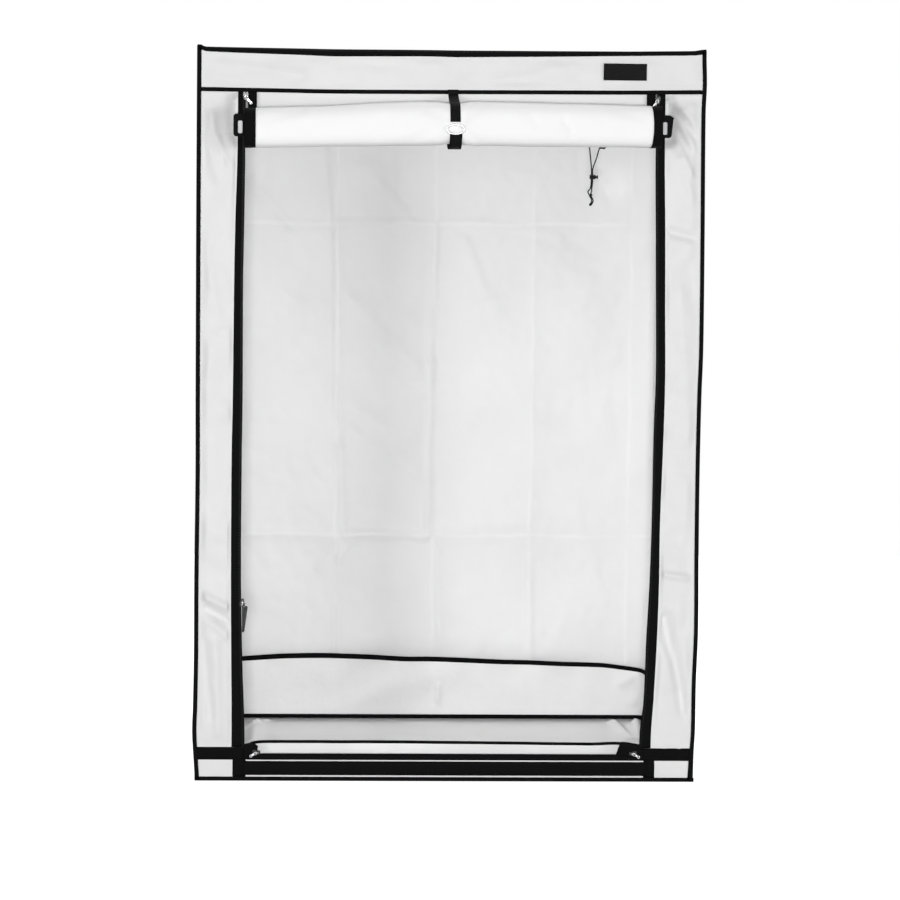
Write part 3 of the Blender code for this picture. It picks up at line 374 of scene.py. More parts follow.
tapeLooks = {
    "blackBinding": {"slot": "black_tape", "shade": (0.0018, 0.0052), "blue": (0.002, 0.0055),
                     "tape": (0.0009, 0.0098, 0.0036, 0.0018), "stitchShade": 0.8, "strength": 0.55,
                     "roughness": (0.6, 0.8), "Specular IOR Level": 0.04},
    "zipTape": {"slot": "black_tape", "shade": (0.0015, 0.0052), "blue": (0.0017, 0.0055),
                "tape": (0.0007, 0.022, 0.0032, 0.006), "stitchShade": 0.7, "strength": 0.5,
                "roughness": (0.6, 0.8), "Specular IOR Level": 0.04},
    "blackWebbing": {"slot": "black_tape", "shade": (0.003, 0.008), "blue": (0.0032, 0.0085),
                     "tape": (0.0016, 0.025, 0.0036, 0.002), "stitchShade": 0.6, "strength": 0.8,
                     "roughness": (0.6, 0.8), "Specular IOR Level": 0.06},
    "patchCloth": {"slot": "black_tape", "shade": (0.004, 0.011), "blue": (0.0043, 0.0116),
                   "tape": (0.0008, 0.038, 0.003, 0.002), "stitchShade": 0.9, "strength": 0.4,
                   "roughness": (0.6, 0.8), "Specular IOR Level": 0.08}}
grainLooks = {
    "paintedPole": {"shade": (0.72, 0.82), "blue": (0.715, 0.815), "grain": 0.0012, "strength": 0.25,
                    "roughness": (0.34, 0.45)},
    "blackPlastic": {"slot": "black_plastic", "shade": (0.004, 0.012), "blue": (0.0044, 0.013),
                     "grain": 0.0007, "strength": 0.35, "roughness": (0.4, 0.55), "Specular IOR Level": 0.2},
    "platedMetal": {"slot": "plated_metal", "shade": (0.55, 0.78), "blue": (0.56, 0.79), "grain": 0.0009,
                    "strength": 0.06, "roughness": (0.2, 0.32), "Metallic": 1.0},
    "dullMetal": {"slot": "plated_metal", "shade": (0.42, 0.52), "blue": (0.43, 0.53), "grain": 0.0009,
                  "strength": 0.2, "roughness": (0.5, 0.62), "Metallic": 0.3, "Specular IOR Level": 0.3},
    "greyBraid": {"slot": "black_tape", "shade": (0.015, 0.11), "blue": (0.016, 0.115), "grain": 0.0009,
                  "strength": 0.4, "roughness": (0.55, 0.75), "Specular IOR Level": 0.4},
    # the slider bodies are near black, though their slot is plated metal
    "sliderPaint": {"slot": "plated_metal", "shade": (0.010, 0.03), "blue": (0.011, 0.032), "grain": 0.0006,
                    "strength": 0.15, "roughness": (0.28, 0.4), "Specular IOR Level": 0.4}}
materials, slots = {}, {}
for looks, make in ((clothLooks, clothMaterial), (tapeLooks, tapeMaterial), (grainLooks, grainMaterial)):
    for name, look in looks.items():
        materials[name], slots[name] = make(name, look), look.get("slot")
print("materials made")


# pieces of mesh

def finishPiece(name, mesh, material, smooth):
    data = bpy.data.meshes.new(name)
    mesh.normal_update()
    mesh.to_mesh(data)
    mesh.free()
    data.materials.append(material)
    if smooth:
        data.shade_smooth()
    piece = bpy.data.objects.new(name, data)
    bpy.context.scene.collection.objects.link(piece)
    return piece


def addPiece(name, mesh, finish, body, node=None, thickness=0.0, lining=None, offset=-1.0, smooth=True):
    # body is what the piece rides on, node the CAD node it replaces, and lining the cloth's other face
    piece = finishPiece(name, mesh, materials[finish], smooth)
    if thickness:
        wall = piece.modifiers.new("thickness", "SOLIDIFY")
        wall.thickness, wall.offset = thickness, offset
    if lining:
        piece.data.materials.append(materials[lining])
        wall.material_offset = 1
    if body:
        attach(piece, body)
    if node:
        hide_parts(node)
    return piece


def clothMesh(columns, rows, place, size, drop=None):
    # a grid whose every share across and up is put where place says; u x v points outwards
    mesh = bmesh.new()
    bmesh.ops.create_grid(mesh, x_segments=columns, y_segments=rows, size=0.5)
    layer = mesh.loops.layers.uv.new("cloth")
    for face in mesh.faces:
        for loop in face.loops:
            loop[layer].uv = ((loop.vert.co.x + 0.5) * size[0], (loop.vert.co.y + 0.5) * size[1])
    for vert in mesh.verts:
        vert.co = place(vert.co.x + 0.5, vert.co.y + 0.5)
    if drop:
        gone = [face for face in mesh.faces if drop(face.calc_center_median())]
        bmesh.ops.delete(mesh, geom=gone, context="FACES")
    return mesh


def joinMeshes(meshes):
    # several bmeshes in one, with their own cloth layers
    whole = bmesh.new()
    for mesh in meshes:
        data = bpy.data.meshes.new("part")
        mesh.to_mesh(data)
        mesh.free()
        whole.from_mesh(data)
        bpy.data.meshes.remove(data)
    return whole


def stripMesh(path, across, rows, crown=0.0, up=None):
    # a tape along path; across is the vector over its width, and crown lifts its middle along up
    lengths = [0.0]
    for a, b in zip(path, path[1:]):
        lengths.append(lengths[-1] + (b - a).length)
    columns, width = len(path) - 1, across.length

    def place(u, v):
        point = path[round(u * columns)] + across * (v - 0.5)
        return point + up * crown * (1 - (2 * v - 1)**2) if up else point

    mesh = clothMesh(columns, rows, place, (1, width))
    layer = mesh.loops.layers.uv.active
    for face in mesh.faces:
        for loop in face.loops:
            loop[layer].uv.x = lengths[round(loop[layer].uv.x * columns)]
    return mesh


def raisePlate(mesh, depth, bevel):
    # makes a flat face thick towards -y, with bevelled rims
    made = bmesh.ops.extrude_face_region(mesh, geom=list(mesh.faces))
    moved = [item for item in made["geom"] if isinstance(item, bmesh.types.BMVert)]
    bmesh.ops.translate(mesh, vec=(0, -depth, 0), verts=moved)
    bmesh.ops.recalc_face_normals(mesh, faces=mesh.faces)
    rims = [edge for edge in mesh.edges if edge.calc_face_angle(0) > 1.0]
    bmesh.ops.bevel(mesh, geom=rims, offset=bevel, offset_type="OFFSET", segments=2, profile=0.5,
                    affect="EDGES", material=-1)


def plateMesh(outline, depth, bevel, y):
    # a flat plate from (x, z) corners, its face towards -y at y, and depth thick
    mesh = bmesh.new()
    mesh.faces.new([mesh.verts.new((x, y + depth, z)) for x, z in outline])
    bmesh.ops.recalc_face_normals(mesh, faces=mesh.faces)
    raisePlate(mesh, depth, bevel)
    return mesh


def tubeMesh(path, radius, sides, closed=False):
    # a round bar along path; radius may be a function of the share along it
    count = len(path)
    reach = radius if callable(radius) else (lambda share: radius)

    def place(u, v):
        index = round(v * (count if closed else count - 1))
        point = path[index % count]
        if closed:
            ahead = path[(index + 1) % count] - path[(index - 1) % count]
        else:
            ahead = path[min(index + 1, count - 1)] - path[max(index - 1, 0)]
        ahead.normalize()
        side = ahead.cross(Vector((0, 1, 0)) if abs(ahead.y) < 0.9 else Vector((1, 0, 0))).normalized()
        turn = 2 * math.pi * u
        return point + (side * math.cos(turn) + ahead.cross(side) * math.sin(turn)) * reach(v)

    size = (2 * math.pi * reach(0.5), pathLength(path))
    mesh = clothMesh(sides, count if closed else count - 1, place, size)
    bmesh.ops.remove_doubles(mesh, verts=mesh.verts, dist=1e-7)
    ends = [edge for edge in mesh.edges if edge.is_boundary]
    if ends:
        bmesh.ops.holes_fill(mesh, edges=ends)
    bmesh.ops.recalc_face_normals(mesh, faces=mesh.faces)
    return mesh


# the outline of the front, as the cloth pulls it

frontOutline = {
    "left": [(0.0, 0.608), (0.057, 0.612), (0.12, 0.6155), (0.183, 0.6138), (0.309, 0.612), (0.498, 0.612),
             (0.751, 0.610), (0.94, 0.6106), (1.382, 0.611), (1.76, 0.6105)],
    "right": [(0.0, 0.604), (0.057, 0.6067), (0.12, 0.6106), (0.246, 0.611), (0.372, 0.614), (0.561, 0.612),
              (0.75, 0.611), (0.94, 0.612), (1.066, 0.6145), (1.319, 0.613), (1.634, 0.610), (1.697, 0.612),
              (1.76, 0.610)],
    "top": [
        (-0.61, 1.7805), (-0.6, 1.7765), (-0.585, 1.7740), (-0.47, 1.7705), (-0.35, 1.7677),
        (-0.29, 1.7656), (-0.17, 1.767), (-0.05, 1.768), (0.01, 1.767), (0.13, 1.769), (0.25, 1.771),
        (0.37, 1.7736), (0.49, 1.776), (0.58, 1.7778), (0.6, 1.7793), (0.61, 1.7820)],
    "headerLow": [(-0.6, 1.670), (-0.41, 1.6685), (-0.29, 1.6675), (-0.05, 1.669), (0.2, 1.671),
                  (0.43, 1.673), (0.6, 1.6758)]}


def frontX(side, z):
    # how far the front's upright edge is from the middle
    return along(frontOutline["right" if side > 0 else "left"], z)


def sideX(side, y, z):
    # the outside of a side wall: the front edge's line, easing to the straight back edge
    share = (y + tent["halfDepth"]) / (2 * tent["halfDepth"])
    slack = math.sin(math.pi * min(max(share, 0), 1)) * math.sin(math.pi * min(max(z / tent["height"], 0), 1))
    folds = 0.006 * slack * ripple(y, z, 0.3, 4 + side) + 0.003 * slack * ripple(y, z, 0.07, 8 + side)
    pull = frontX(side, z) - tent["halfWidth"]
    return tent["halfWidth"] + pull * (1 - ease(share if pull > 0 else 60 * share)) + folds - 0.003 * slack


def topZ(x, y):
    share = (y + tent["halfDepth"]) / (2 * tent["halfDepth"])
    slack = math.sin(math.pi * min(max(share, 0), 1)) * math.cos(math.pi * x / (2 * tent["halfWidth"]))
    folds = 0.004 * slack * abs(ripple(x, y, 0.25, 12))
    pull = along(frontOutline["top"], x) - tent["height"]
    return tent["height"] + pull * (1 - ease(share if pull > 0 else 60 * share)) + folds


def backY(x, z):
    across = math.cos(math.pi * x / (2 * tent["halfWidth"])) * math.sin(math.pi * z / tent["height"])
    return tent["halfDepth"] + 0.002 * across * ripple(x, z, 0.35, 2.5)


edgeBinding = {"width": 0.0098, "corner": 0.0035, "step": 0.02, "lift": 0.0003, "top": 0.004}


def edgeProfile(share, first, second):
    # across a bound edge: along the first face, round the corner and along the second face
    width, corner = edgeBinding["width"], edgeBinding["corner"]
    run = mix(-width, width, share)
    if run < -corner:
        return first * -run
    if run > corner:
        return second * run
    turn = (run + corner) / (2 * corner)
    return first * corner * (1 - turn)**2 + second * corner * turn**2


def boundEdge(length, corner, first, second, flip):
    # corner(share) is the edge's own line
    first, columns = Vector(first), round(length / edgeBinding["step"])

    def place(u, v):
        share = mix(1, 0, u) if flip else u
        return corner(share) + edgeProfile(v, first, Vector(second(share) if callable(second) else second))

    return clothMesh(columns, 12, place, (length, 2 * edgeBinding["width"]))


def buildEdgeBinding():
    halfX, halfY, top, width = tent["halfWidth"], tent["halfDepth"], tent["height"], edgeBinding["width"]
    parts = []
    for side in (-1, 1):
        inward = (-side, 0, 0)
        for y, face in ((-halfY, (0, 1, 0)), (halfY, (0, -1, 0))):
            def upright(share, side=side, y=y):
                z = mix(0.0, top + edgeBinding["top"], share)
                return Vector((side * (frontX(side, z) if y < 0 else halfX), y, z))

            def alongWall(share, side=side):
                z = mix(0.0, top + edgeBinding["top"], share)
                rise = sideX(side, -halfY + width, z) - sideX(side, -halfY, z)
                return side * rise / width, 1, 0

            parts.append(boundEdge(top, upright, inward, alongWall if y < 0 else face, (side > 0) != (y < 0)))
            for z in (0, top):
                lift = edgeBinding["lift"] if z else 0

                def level(share, y=y, z=z, lift=lift):
                    x = mix(-halfX, halfX, share)
                    height = (along(frontOutline["top"], x) if y < 0 else z) + lift if z else z
                    return Vector((x, y, height))

                def alongRoof(share):
                    x = mix(-halfX, halfX, share)
                    return 0, 1, (topZ(x, -halfY + width) - topZ(x, -halfY)) / width

                if side > 0:
                    parts.append(boundEdge(2 * halfX, level, (0, 0, -1 if z else 1),
                                           alongRoof if y < 0 and z else face, (y < 0) == (z > 0)))
        for z in (0, top):
            def deep(share, side=side, z=z):
                y = mix(-halfY, halfY, share)
                height = (topZ(side * halfX, y) + edgeBinding["lift"]) if z else z
                return Vector((side * sideX(side, y, z), y, height))

            parts.append(boundEdge(2 * halfY, deep, (0, 0, -1 if z else 1), inward, (side > 0) != (z > 0)))
    addPiece("edgeBinding", joinMeshes(parts), "blackBinding", "tent", "edge_binding", tent["tape"])


buildEdgeBinding()
print("edge binding sewn")


# the walls, roof and floor

# grid is how many faces a sheet has each way, and size its width and height in metres
wallSheet = {"low": 0.0018, "high": 1.7719, "halfDepth": 0.4569, "grid": (92, 177), "size": (0.914, 1.77)}
ventHole = {"halfWidth": 0.15, "low": 0.22, "high": 0.36, "flat": 0.6080, "fade": 0.03,
            "reach": (0.20, 0.18, 0.58)}
ductHole = {"radius": 0.0765, "reach": 0.1, "wall": (0.24, 1.43), "roof": (0.389, 0.05)}
backWall = {"grid": (176, 256), "size": (1.217, 1.77),
            "facet": 0.012, "fold": 0.012, "wrinkle": 0.0022, "crease": 1.5,
            "panel": 0.262, "margin": 0.08,
            "creases": [
                ((-0.282, 1.6), (-0.262, 1.3), 0.004, 0.009), ((-0.262, 1.3), (-0.249, 0.74), 0.004, 0.01),
                ((-0.249, 0.74), (-0.238, 0.49), 0.004, 0.01),
                ((-0.25, 0.48), (-0.249, 0.05), 0.004, 0.008), ((0.0, 1.32), (-0.008, 0.96), 0.004, 0.009),
                ((-0.008, 0.96), (-0.01, 0.5), 0.004, 0.009), ((0.015, 0.45), (0.025, 0.2), 0.003, 0.01),
                ((0.262, 1.3), (0.258, 0.55), 0.0014, 0.012), ((0.264, 0.44), (0.267, 0.05), 0.0035, 0.007),
                ((-0.39, 1.318), (-0.25, 1.327), 0.0035, 0.01),
                ((-0.25, 1.327), (-0.06, 1.334), 0.0028, 0.01),
                ((-0.06, 1.332), (0.12, 1.333), 0.002, 0.009), ((0.12, 1.333), (0.33, 1.297), 0.002, 0.014),
                ((-0.49, 0.5), (-0.26, 0.495), 0.0025, 0.016), ((-0.23, 0.5), (-0.02, 0.49), 0.005, 0.011),
                ((0.0, 0.5), (0.24, 0.53), 0.002, 0.016), ((-0.19, 1.478), (-0.08, 1.36), 0.003, 0.018),
                ((-0.24, 1.145), (-0.037, 0.933), 0.0035, 0.02),
                ((-0.224, 0.892), (-0.022, 0.746), 0.002, 0.02),
                ((-0.237, 0.825), (-0.021, 0.652), 0.003, 0.018),
                ((-0.49, 1.435), (-0.374, 1.317), 0.004, 0.014),
                ((-0.307, 0.407), (-0.257, 0.475), 0.003, 0.007),
                ((-0.247, 0.434), (-0.22, 0.475), 0.003, 0.006),
                ((0.008, 0.476), (0.024, 0.443), 0.003, 0.006),
                ((0.08, 1.28), (0.134, 1.149), 0.0025, 0.016), ((0.383, 0.56), (0.468, 0.33), 0.0025, 0.02),
                ((-0.33, 0.72), (-0.3, 0.66), 0.002, 0.012)]}


def buildBackWall():
    look, low, high = backWall, wallSheet["low"], wallSheet["high"]
    faceX, margin, panel = tent["faceX"] - 0.001, look["margin"], look["panel"]

    def place(u, v):
        x, z = mix(faceX, -faceX, u), mix(low, high, v)
        free = min(1, (faceX - abs(x)) / margin) * min(1, z / margin) * min(1, (high - z) / margin)
        facet = abs(((x + panel) / panel) % 2 - 1) * look["facet"]
        wrinkle = look["wrinkle"] * ripple(x + 0.4 * z, z - 0.4 * x, 0.035, 36)
        folds = facet + wrinkle + look["fold"] * ripple(x, z, 0.16, 31)
        folds += look["crease"] * creaseHeight(x, z, look["creases"])
        return Vector((x, backY(x, z) - tent["inset"] - free * max(folds, 0.0), z))

    piece = addPiece("backWall", clothMesh(*look["grid"], place, look["size"]), "wallCloth", "tent",
                     "back_wall", tent["cloth"], "whiteLining")


def snapRing(mesh, centre, flat, radius, reach):
    # the loose corners round a cut hole are drawn onto its circle
    for edge in mesh.edges:
        if edge.is_boundary:
            for vert in edge.verts:
                off = Vector(vert.co[axis] - centre[axis] if axis != flat else 0 for axis in range(3))
                if off.length < reach:
                    vert.co += off.normalized() * radius - off


def buildSideWall(side):
    halfY, (ductY, ductZ) = wallSheet["halfDepth"], ductHole["wall"]

    def place(u, v):
        y, z = mix(-halfY, halfY, u if side > 0 else 1 - u), mix(wallSheet["low"], wallSheet["high"], v)
        x = sideX(side, y, z) - tent["inset"]
        if side < 0:
            # stitched flat where the flap lies, hanging or turned up
            reachY, low, high = ventHole["reach"]
            inside = min(reachY - abs(y), z - low, high - z) / ventHole["fade"]
            x = mix(x, ventHole["flat"], ease(inside + 1))
        return Vector((side * x, y, z))

    def inHole(centre):
        if side > 0:
            return math.hypot(centre.y - ductY, centre.z - ductZ) < ductHole["radius"]
        return abs(centre.y) < ventHole["halfWidth"] and ventHole["low"] < centre.z < ventHole["high"]

    mesh = clothMesh(*wallSheet["grid"], place, wallSheet["size"], inHole)
    if side > 0:
        snapRing(mesh, (0, ductY, ductZ), 0, ductHole["radius"], ductHole["reach"])
    piece = addPiece(words[side] + "Wall", mesh, "wallCloth", "tent", words[side] + "_wall", tent["cloth"],
                     "whiteLining")


roofSheet = {"grid": (122, 92), "size": (1.217, 0.917)}
floorSheet = {"grid": (60, 46), "size": (1.217, 0.917), "cloth": 0.0012, "low": 0.0003, "wave": 0.0006}


def buildRoof():
    faceX, faceY, (ductX, ductY) = tent["faceX"] - 0.0005, tent["faceY"], ductHole["roof"]

    def place(u, v):
        x, y = mix(-faceX, faceX, u), mix(-faceY, faceY, v)
        return Vector((x, y, topZ(x, y) - tent["inset"]))

    def inHole(centre):
        return math.hypot(centre.x - ductX, centre.y - ductY) < ductHole["radius"]

    mesh = clothMesh(*roofSheet["grid"], place, roofSheet["size"], inHole)
    snapRing(mesh, (ductX, ductY, 0), 2, ductHole["radius"], ductHole["reach"])
    piece = addPiece("roofPanel", mesh, "wallCloth", "tent", "roof_panel", tent["cloth"], "whiteLining")


def buildFloor():
    look, faceX, faceY = floorSheet, tent["faceX"] - 0.001, tent["faceY"]

    def place(u, v):
        x, y = mix(-faceX, faceX, u), mix(faceY, -faceY, v)
        return Vector((x, y, look["low"] + look["wave"] * max(0.0, ripple(x, y, 0.2, 21))))

    piece = addPiece("floorSheet", clothMesh(*look["grid"], place, look["size"]), "whiteCloth", "tent",
                     "floor_sheet", look["cloth"])


buildBackWall()
for side in (-1, 1):
    buildSideWall(side)
buildRoof()
buildFloor()
print("walls, roof and floor hung")


# the front: header, strips, sill

headerLook = {"grid": (200, 20), "size": (1.22, 0.104), "lift": 0.002, "bindingGrid": (120, 6),
              "bindingHalf": 0.6015, "bindingCrown": 0.0007,
              "creases": [
                  ((-0.55, 1.735), (-0.36, 1.71), 0.003, 0.014), ((0.1, 1.70), (0.3, 1.735), 0.0025, 0.016),
                  ((-0.3, 1.745), (-0.1, 1.735), -0.0025, 0.016)]}


def frontPiece(name, node, grid, box, bulge, finish="whiteCloth", depth=0.0,
               thickness=tent["cloth"]):
    # box gives (left, right) at a height and (low, high) at a width
    left, right, low, high = box

    def place(u, v):
        midZ = mix(low(0), high(0), v)
        x = mix(left(midZ), right(midZ), u)
        z = mix(low(x), high(x), v)
        return Vector((x, -tent["faceY"] - depth - bulge(x, z, u, v), z))

    size = (right(0.9) - left(0.9), high(0) - low(0))
    return addPiece(name, clothMesh(*grid, place, size), finish, "tent", node, thickness,
                    "whiteLining" if finish == "whiteCloth" else None)


def headerLow(x, lift=0.0):
    return along(frontOutline["headerLow"], x) + lift


def hemmedX(side):
    # the upright edge of a front piece, just inside the front's outline
    return lambda z: side * (frontX(side, z) - tent["inset"])


def clearOf(place, whole, hem=0.0105, rise=0.022):
    # 0 under the bound edges of a piece that is whole wide, and 1 well inside them
    return ease((min(place, whole - place) - hem) / rise)


def buildHeader():
    look, (width, height) = headerLook, headerLook["size"]

    def bulge(x, z, u, v):
        free = clearOf(v * height, height) * clearOf(u * width, width)
        folds = 0.006 * ripple(x, z, 0.12, 51) + 0.002 * ripple(x, z, 0.04, 53)
        return free * (look["lift"] + folds + creaseHeight(x, z, look["creases"]))

    piece = frontPiece("headerPanel", "header_panel", look["grid"],
                       (hemmedX(-1), hemmedX(1), lambda x: headerLow(x, 0.0005),
                        lambda x: along(frontOutline["top"], x) - tent["inset"]), bulge)
    frontPiece("headerBinding", "header_binding", look["bindingGrid"],
               (lambda z: -look["bindingHalf"], lambda z: look["bindingHalf"], headerLow,
                lambda x: headerLow(x, edgeBinding["width"])),
               lambda x, z, u, v: look["bindingCrown"] * math.sin(math.pi * v) + 0.0002, "blackBinding",
               tent["inset"], tent["tape"])


zipBand = {
    "left": [(0.0, 0.5206, 0.4905), (0.12, 0.5206, 0.4905), (0.197, 0.521, 0.493), (0.27, 0.522, 0.496),
             (0.49, 0.524, 0.501), (0.78, 0.524, 0.501), (0.925, 0.522, 0.4996), (1.217, 0.520, 0.500),
             (1.362, 0.518, 0.498), (1.508, 0.514, 0.4966), (1.67, 0.513, 0.496)],
    "right": [(0.0, 0.5035, 0.477), (0.12, 0.5035, 0.477), (0.197, 0.508, 0.485), (0.343, 0.514, 0.489),
              (0.49, 0.517, 0.495), (0.634, 0.517, 0.498), (0.853, 0.522, 0.499), (0.998, 0.5236, 0.502),
              (1.144, 0.521, 0.500), (1.362, 0.5175, 0.496), (1.508, 0.514, 0.493), (1.67, 0.513, 0.494)]}


def bandX(side, z, edge):
    return along([(row[0], row[1 if edge == "outer" else 2]) for row in zipBand[words[side]]], z)


stripTucks = {"left": [((-0.517, 1.645), (-0.519, 1.570), 0.024, 0.019)],
              "right": [((0.520, 1.650), (0.523, 1.570), 0.026, 0.016)]}
stripLook = {
    "left": [((-0.588, 0.452), (-0.53, 0.425), 0.010, 0.010), ((-0.585, 0.42), (-0.53, 0.392), -0.009, 0.011),
             ((-0.565, 0.385), (-0.535, 0.355), 0.007, 0.012), ((-0.59, 0.34), (-0.575, 0.16), -0.006, 0.012),
             ((-0.595, 0.95), (-0.53, 0.9), 0.003, 0.018), ((-0.56, 0.34), (-0.552, 0.12), 0.005, 0.012),
             ((-0.540, 1.640), (-0.552, 1.545), -0.007, 0.022), ((-0.575, 1.61), (-0.56, 1.52), 0.003, 0.010),
             ((-0.56, 1.56), (-0.535, 1.5), 0.004, 0.008), ((-0.59, 1.56), (-0.56, 1.46), 0.003, 0.010),
             ((-0.59, 1.3), (-0.55, 1.1), 0.003, 0.014)],
    "right": [((0.538, 1.62), (0.552, 1.55), -0.008, 0.018),
              ((0.555, 1.635), (0.595, 1.60), 0.004, 0.008),
              ((0.535, 1.62), (0.588, 1.545), 0.005, 0.008), ((0.54, 1.575), (0.58, 1.48), 0.005, 0.007),
              ((0.57, 1.60), (0.595, 1.56), -0.004, 0.007), ((0.55, 1.52), (0.585, 1.42), 0.003, 0.009),
              ((0.525, 1.345), (0.59, 1.33), -0.008, 0.010), ((0.53, 0.512), (0.595, 0.503), 0.008, 0.008),
              ((0.56, 1.2), (0.575, 0.9), 0.003, 0.016), ((0.53, 0.40), (0.585, 0.18), -0.014, 0.017),
              ((0.53, 0.33), (0.56, 0.24), 0.004, 0.012), ((0.57, 0.42), (0.55, 0.3), 0.003, 0.012)]}


stripSheet = {"grid": (32, 300), "size": (0.1, 1.6), "lift": 0.003, "low": 0.0643, "underZip": 0.006}


def buildStrip(side):
    look, word, (width, height) = stripSheet, words[side], stripSheet["size"]

    def bulge(x, z, u, v):
        fromZip = width * (1 - u if side < 0 else u)
        free = clearOf(width - fromZip, 1.0) * clearOf(fromZip, 1.0, 0.007, 0.012)
        free *= clearOf(v * height + 0.002, height)
        folds = 0.009 * ripple(x, z, 0.11, 60 + side) + 0.0025 * ripple(x, z, 0.035, 64 + side)
        tuck = creaseHeight(x, z, stripTucks[word]) * ease((fromZip - 0.001) / 0.006)
        return free * (look["lift"] + folds + creaseHeight(x, z, stripLook[word])) - tuck

    edges = {side: hemmedX(side), -side: lambda z: side * (bandX(side, z, "outer") - look["underZip"])}
    piece = frontPiece("front%sPanel" % word.capitalize(), "front_%s_panel" % word, look["grid"],
                       (edges[-1], edges[1], lambda x: look["low"], lambda x: headerLow(x, 0.0015)), bulge)


sillLook = {"grid": (120, 8), "high": 0.064, "bandGrid": (110, 6), "band": (0.4947, 0.0138, 0.0484),
            "zipLow": 0.0514, "zipHigh": 0.0672, "cornerHigh": 0.0825, "corner": {-1: 0.4905, 1: 0.477},
            "foot": {-1: (0.486, 0.518), 1: (0.4855, 0.513)},
            "gather": {-1: [
                (0.4920, 0.0560), (0.4540, 0.0600), (0.4585, 0.0720), (0.4560, 0.0850), (0.4700, 0.0935),
                (0.4920, 0.0900)],
                       1: [
                           (0.4900, 0.0560), (0.4200, 0.0650), (0.4360, 0.0740), (0.4300, 0.0850),
                           (0.4310, 0.0985), (0.4790, 0.0920)]}}


def buildSill():
    def bulge(x, z, u, v):
        free = math.sin(math.pi * v) * min(1, 20 * u, 20 * (1 - u))
        return free * 0.0006 * (1 + ripple(x, z, 0.12, 71))

    look, (half, low, high) = sillLook, sillLook["band"]
    piece = frontPiece("sillPanel", "sill_panel", look["grid"],
                       (hemmedX(-1), hemmedX(1), lambda x: wallSheet["low"], lambda x: look["high"]), bulge)
    frontPiece("sillBand", "sill_band", look["bandGrid"],
               (lambda z: -half, lambda z: half, lambda x: low, lambda x: high),
               lambda x, z, u, v: 0.0015 + 0.0004 * math.sin(math.pi * v), "sillBandCloth", 0.0003,
               tent["tape"])


def gather(side):
    # the tape ends folded together in the corner of the opening, where the sliders stop
    corners = [Vector((side * x, 0, z)) for x, z in sillLook["gather"][side]]
    low, high = smoothPath(corners[:3], 6), smoothPath(corners[3:][::-1], 6)

    def place(u, v):
        index = round((u if side < 0 else 1 - u) * 12)
        point = low[index].lerp(high[index], v)
        swell = math.sin(math.pi * v) * (0.0016 + 0.0014 * ripple(point.x, point.z, 0.012, 75))
        return point + Vector((0, -tent["faceY"] - 0.0012 - max(swell, 0), 0))

    return clothMesh(12, 10, place, (0.05, 0.03))


def buildSillZip():
    parts = []
    low, high, corner = sillLook["zipLow"], sillLook["zipHigh"], sillLook["cornerHigh"]

    def flat(edges, z0, z1, columns, rows, depth):
        x0, x1 = sorted(edges)

        def place(u, v):
            y = -tent["faceY"] - depth - 0.0004 * math.sin(math.pi * v)
            return Vector((mix(x0, x1, u), y, mix(z0, z1, v)))

        parts.append(clothMesh(columns, rows, place, (x1 - x0, z1 - z0)))

    flat((-0.497, 0.497), low, high, 90, 6, 0.0008)
    for side in (-1, 1):
        edge = side * (frontX(side, 0.06) - 0.005)
        flat((edge, side * sillLook["corner"][side]), low, corner, 16, 6, 0.0011)
        flat([side * reach for reach in sillLook["foot"][side]], 0.0093, low + 0.004, 6, 8, 0.0006)
        parts.append(gather(side))
    addPiece("zipTapeSill", joinMeshes(parts), "zipTape", "tent", "zip_tape_sill", tent["tape"])


zipLook = {"grid": (6, 150), "size": (0.022, 1.588), "low": 0.0828, "underTeeth": 0.0015, "inset": 0.0028,
           "pitch": 0.0034, "tooth": (0.0034, 0.0016, 0.0019), "stagger": 0.0011, "out": 0.0014}


def toothRow(places, size):
    # small bevelled teeth, each at (x, y, z)
    mesh = bmesh.new()
    for place in places:
        matrix = Matrix.Translation(place) @ Matrix.Diagonal((*size, 1))
        made = bmesh.ops.create_cube(mesh, size=1, matrix=matrix)
        top = [v for v in made["verts"] if v.co.y < place[1]]
        bmesh.ops.scale(mesh, vec=(0.7, 1, 0.6), space=Matrix.Translation(-Vector(place)), verts=top)
    return mesh


def buildZip(side):
    low, high = zipLook["low"], headerLow(side * 0.505, 0.001)

    def place(u, v):
        z = mix(low, high, v)
        inner, outer = bandX(side, z, "inner"), bandX(side, z, "outer")
        x = mix(inner - zipLook["underTeeth"], outer, u if side > 0 else 1 - u)
        return Vector((side * x, -tent["faceY"] - 0.0004 - 0.0006 * math.sin(math.pi * u), z))

    word = words[side]
    addPiece("zipTape" + word.capitalize(), clothMesh(*zipLook["grid"], place, zipLook["size"]), "zipTape",
             "tent", "zip_tape_" + word, tent["tape"])
    teeth = []
    for index in range(round((high - low) / zipLook["pitch"])):
        z = low + (index + 0.5) * zipLook["pitch"]
        line = bandX(side, z, "inner") + zipLook["inset"] + zipLook["stagger"] * (-1)**index
        teeth.append((side * line, -tent["faceY"] - zipLook["out"], z))
    addPiece("zipTeeth" + word.capitalize(), toothRow(teeth, zipLook["tooth"]), "blackPlastic", "tent",
             smooth=False)


patchLook = {"grid": (34, 14), "size": (0.102, 0.038), "x": (0.3625, 0.4665), "z": (1.7065, 1.7468),
             "out": 0.0062, "crown": 0.0006, "cloth": 0.0012}


def buildPatch():
    look = patchLook

    def place(u, v):
        edge = min(u, 1 - u, v, 1 - v)
        y = -tent["faceY"] - look["out"] - look["crown"] * ease(edge * 8)
        return Vector((mix(*look["x"], u), y, mix(*look["z"], v)))

    addPiece("headerPatch", clothMesh(*look["grid"], place, look["size"]), "patchCloth", "tent", None,
             look["cloth"])


buildHeader()
for side in (-1, 1):
    buildStrip(side)
    buildZip(side)
buildSill()
buildSillZip()
buildPatch()
print("front sewn")


# the rolled door

